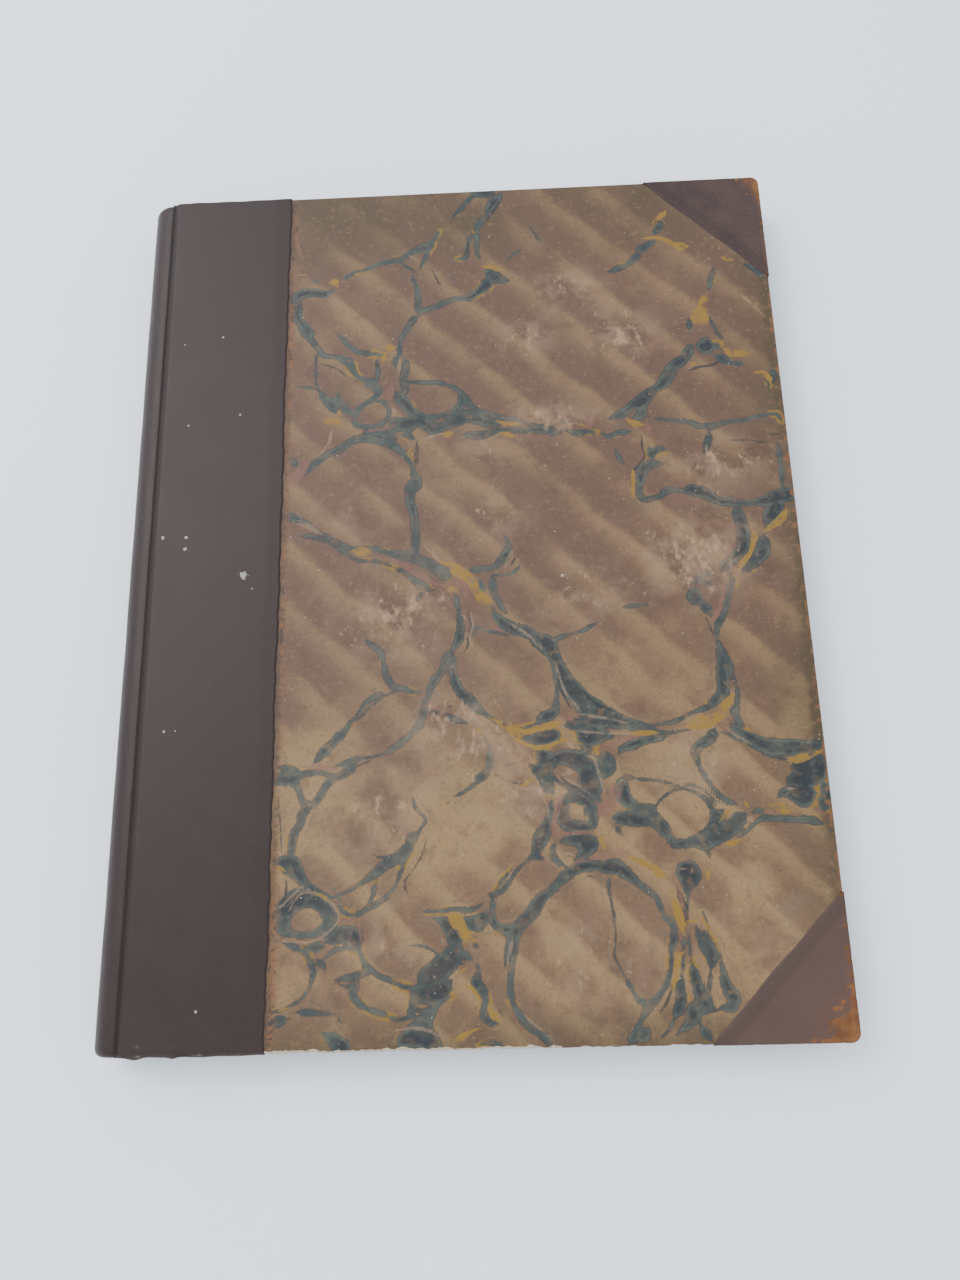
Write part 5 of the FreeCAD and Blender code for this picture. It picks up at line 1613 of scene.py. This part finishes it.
def dress_hidden_nodes() -> None:
    """Gives the CAD nodes that stay shown their finishes."""
    finishes = {
        ("front_board", "back_board"): Pasteboard("pasteboard", (0.30, 0.25, 0.19)),
        ("spine_lining",): AgedPaper("spine_cloth", (0.45, 0.40, 0.30), (0.33, 0.27, 0.18)),
        ("sewing_cords",): Thread("sewing_cord", (0.46, 0.38, 0.25), (0.40, 0.32, 0.2)),
        ("front_flyleaf", "back_flyleaf"): AgedPaper("flyleaf_paper", *PAPER_TONES),
    }
    for names, finish in finishes.items():
        material = finish.make()
        for name in names:
            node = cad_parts[name]
            node.data.materials.clear()
            node.data.materials.append(material)


@dataclass(frozen=True)
class Studio:
    """The pale floor, the soft light and the camera."""

    floor_reach: float = 3000.0
    floor_tones: tuple[Triple, Triple] = ((0.80, 0.83, 0.87), (0.84, 0.86, 0.88))
    window_place: Triple = (-0.75, 0.55, 1.15)
    window_size: tuple[float, float] = (1.1, 0.9)
    window_power: float = 20.0
    window_colour: Triple = (1.0, 0.98, 0.95)
    sky_colour: Triple = (0.84, 0.91, 1.0)
    sky_strength: float = 1.8
    camera_place: Triple = (12.15, -87.2, 255.84)
    right: Triple = (0.999, -0.0246, -0.0361)
    down: Triple = (-0.0333, -0.9636, -0.2654)
    forward: Triple = (-0.0283, 0.2664, -0.9635)
    lens: float = 27.03
    sensor: float = 36.0

    def build_floor(self) -> None:
        """A wide flat floor with a faint unevenness of tone."""
        material, s = new_material("pale_floor")
        tone = s.mix(s.step(s.noise(3.0, 2.0), 0.3, 0.7), *self.floor_tones)
        s.surface(base_color=tone, roughness=0.7, specular_ior_level=0.2)
        line = np.linspace(-self.floor_reach, self.floor_reach, 3)
        points = spread(line, line[:, None], 0.0).reshape(-1, 3)
        floor = put_in_mesh("floor", points, grid_faces(3, 3), material)

    def build_light(self) -> None:
        """A large soft light up and to the left, and an even pale sky."""
        lamp = bpy.data.lights.new("window", "AREA")
        lamp.shape, (lamp.size, lamp.size_y) = "RECTANGLE", self.window_size
        lamp.energy, lamp.color = self.window_power, self.window_colour
        light = bpy.data.objects.new("window", lamp)
        light.location = self.window_place
        light.rotation_euler = (-light.location).to_track_quat("-Z", "Y").to_euler()
        bpy.context.scene.collection.objects.link(light)
        world = bpy.data.worlds.new("sky")
        world.use_nodes = True
        background = world.node_tree.nodes["Background"]
        background.inputs["Color"].default_value = (*self.sky_colour, 1.0)
        background.inputs["Strength"].default_value = self.sky_strength
        bpy.context.scene.world = world

    def build_camera(self) -> None:
        """The camera at the photograph's place; its axes are the columns of its turn."""
        data = bpy.data.cameras.new("camera")
        data.lens, data.sensor_width = self.lens, self.sensor
        data.clip_start, data.clip_end = 0.01, 20.0
        camera = bpy.data.objects.new("camera", data)
        axes = Matrix([self.right, [-v for v in self.down], [-v for v in self.forward]]).transposed()
        turn = axes.to_quaternion().to_matrix().to_4x4()
        camera.matrix_world = Matrix.Translation(Vector(self.camera_place) * MM) @ turn
        bpy.context.scene.collection.objects.link(camera)
        bpy.context.scene.camera = camera


def main() -> None:
    """Builds the book from the pages outwards, and then the studio."""
    leather = Leather("spine_leather", (0.0195, 0.0098, 0.0085), (0.026, 0.0140, 0.0120),
                      (0.15, 0.115, 0.095), chips=LEATHER_CHIPS).make()
    corner = Leather("corner_leather", (0.031, 0.017, 0.0155), (0.070, 0.040, 0.030), (0.180, 0.073, 0.024),
                     0.6).make()
    marbled = MarbledFinish().make()
    endpaper = AgedPaper("endpaper", *PAPER_TONES).make()
    PageBlock().build(PageEdges("page_edges", (0.60, 0.50, 0.34), (0.36, 0.27, 0.16)).make())
    silk = Thread("endband_silk", (0.55, 0.46, 0.30), (0.22, 0.05, 0.04)).make()
    for end in End:
        Endband(end).build(silk)
    SpineLeather().build(leather)
    for side in Side:
        SideLeather(side).build(leather)
        MarbledSide(side).build(marbled, Marbling(side).fields)
        Pastedown(side).build(endpaper)
        EndpaperHinge(side).build(endpaper)
        for end in End:
            CornerLeather(side, end).build(corner)
    dress_hidden_nodes()
    studio = Studio()
    studio.build_floor()
    studio.build_light()
    studio.build_camera()


if __name__ == "__main__":
    logging.basicConfig(level=logging.INFO, format="%(name)s: %(message)s")
    main()
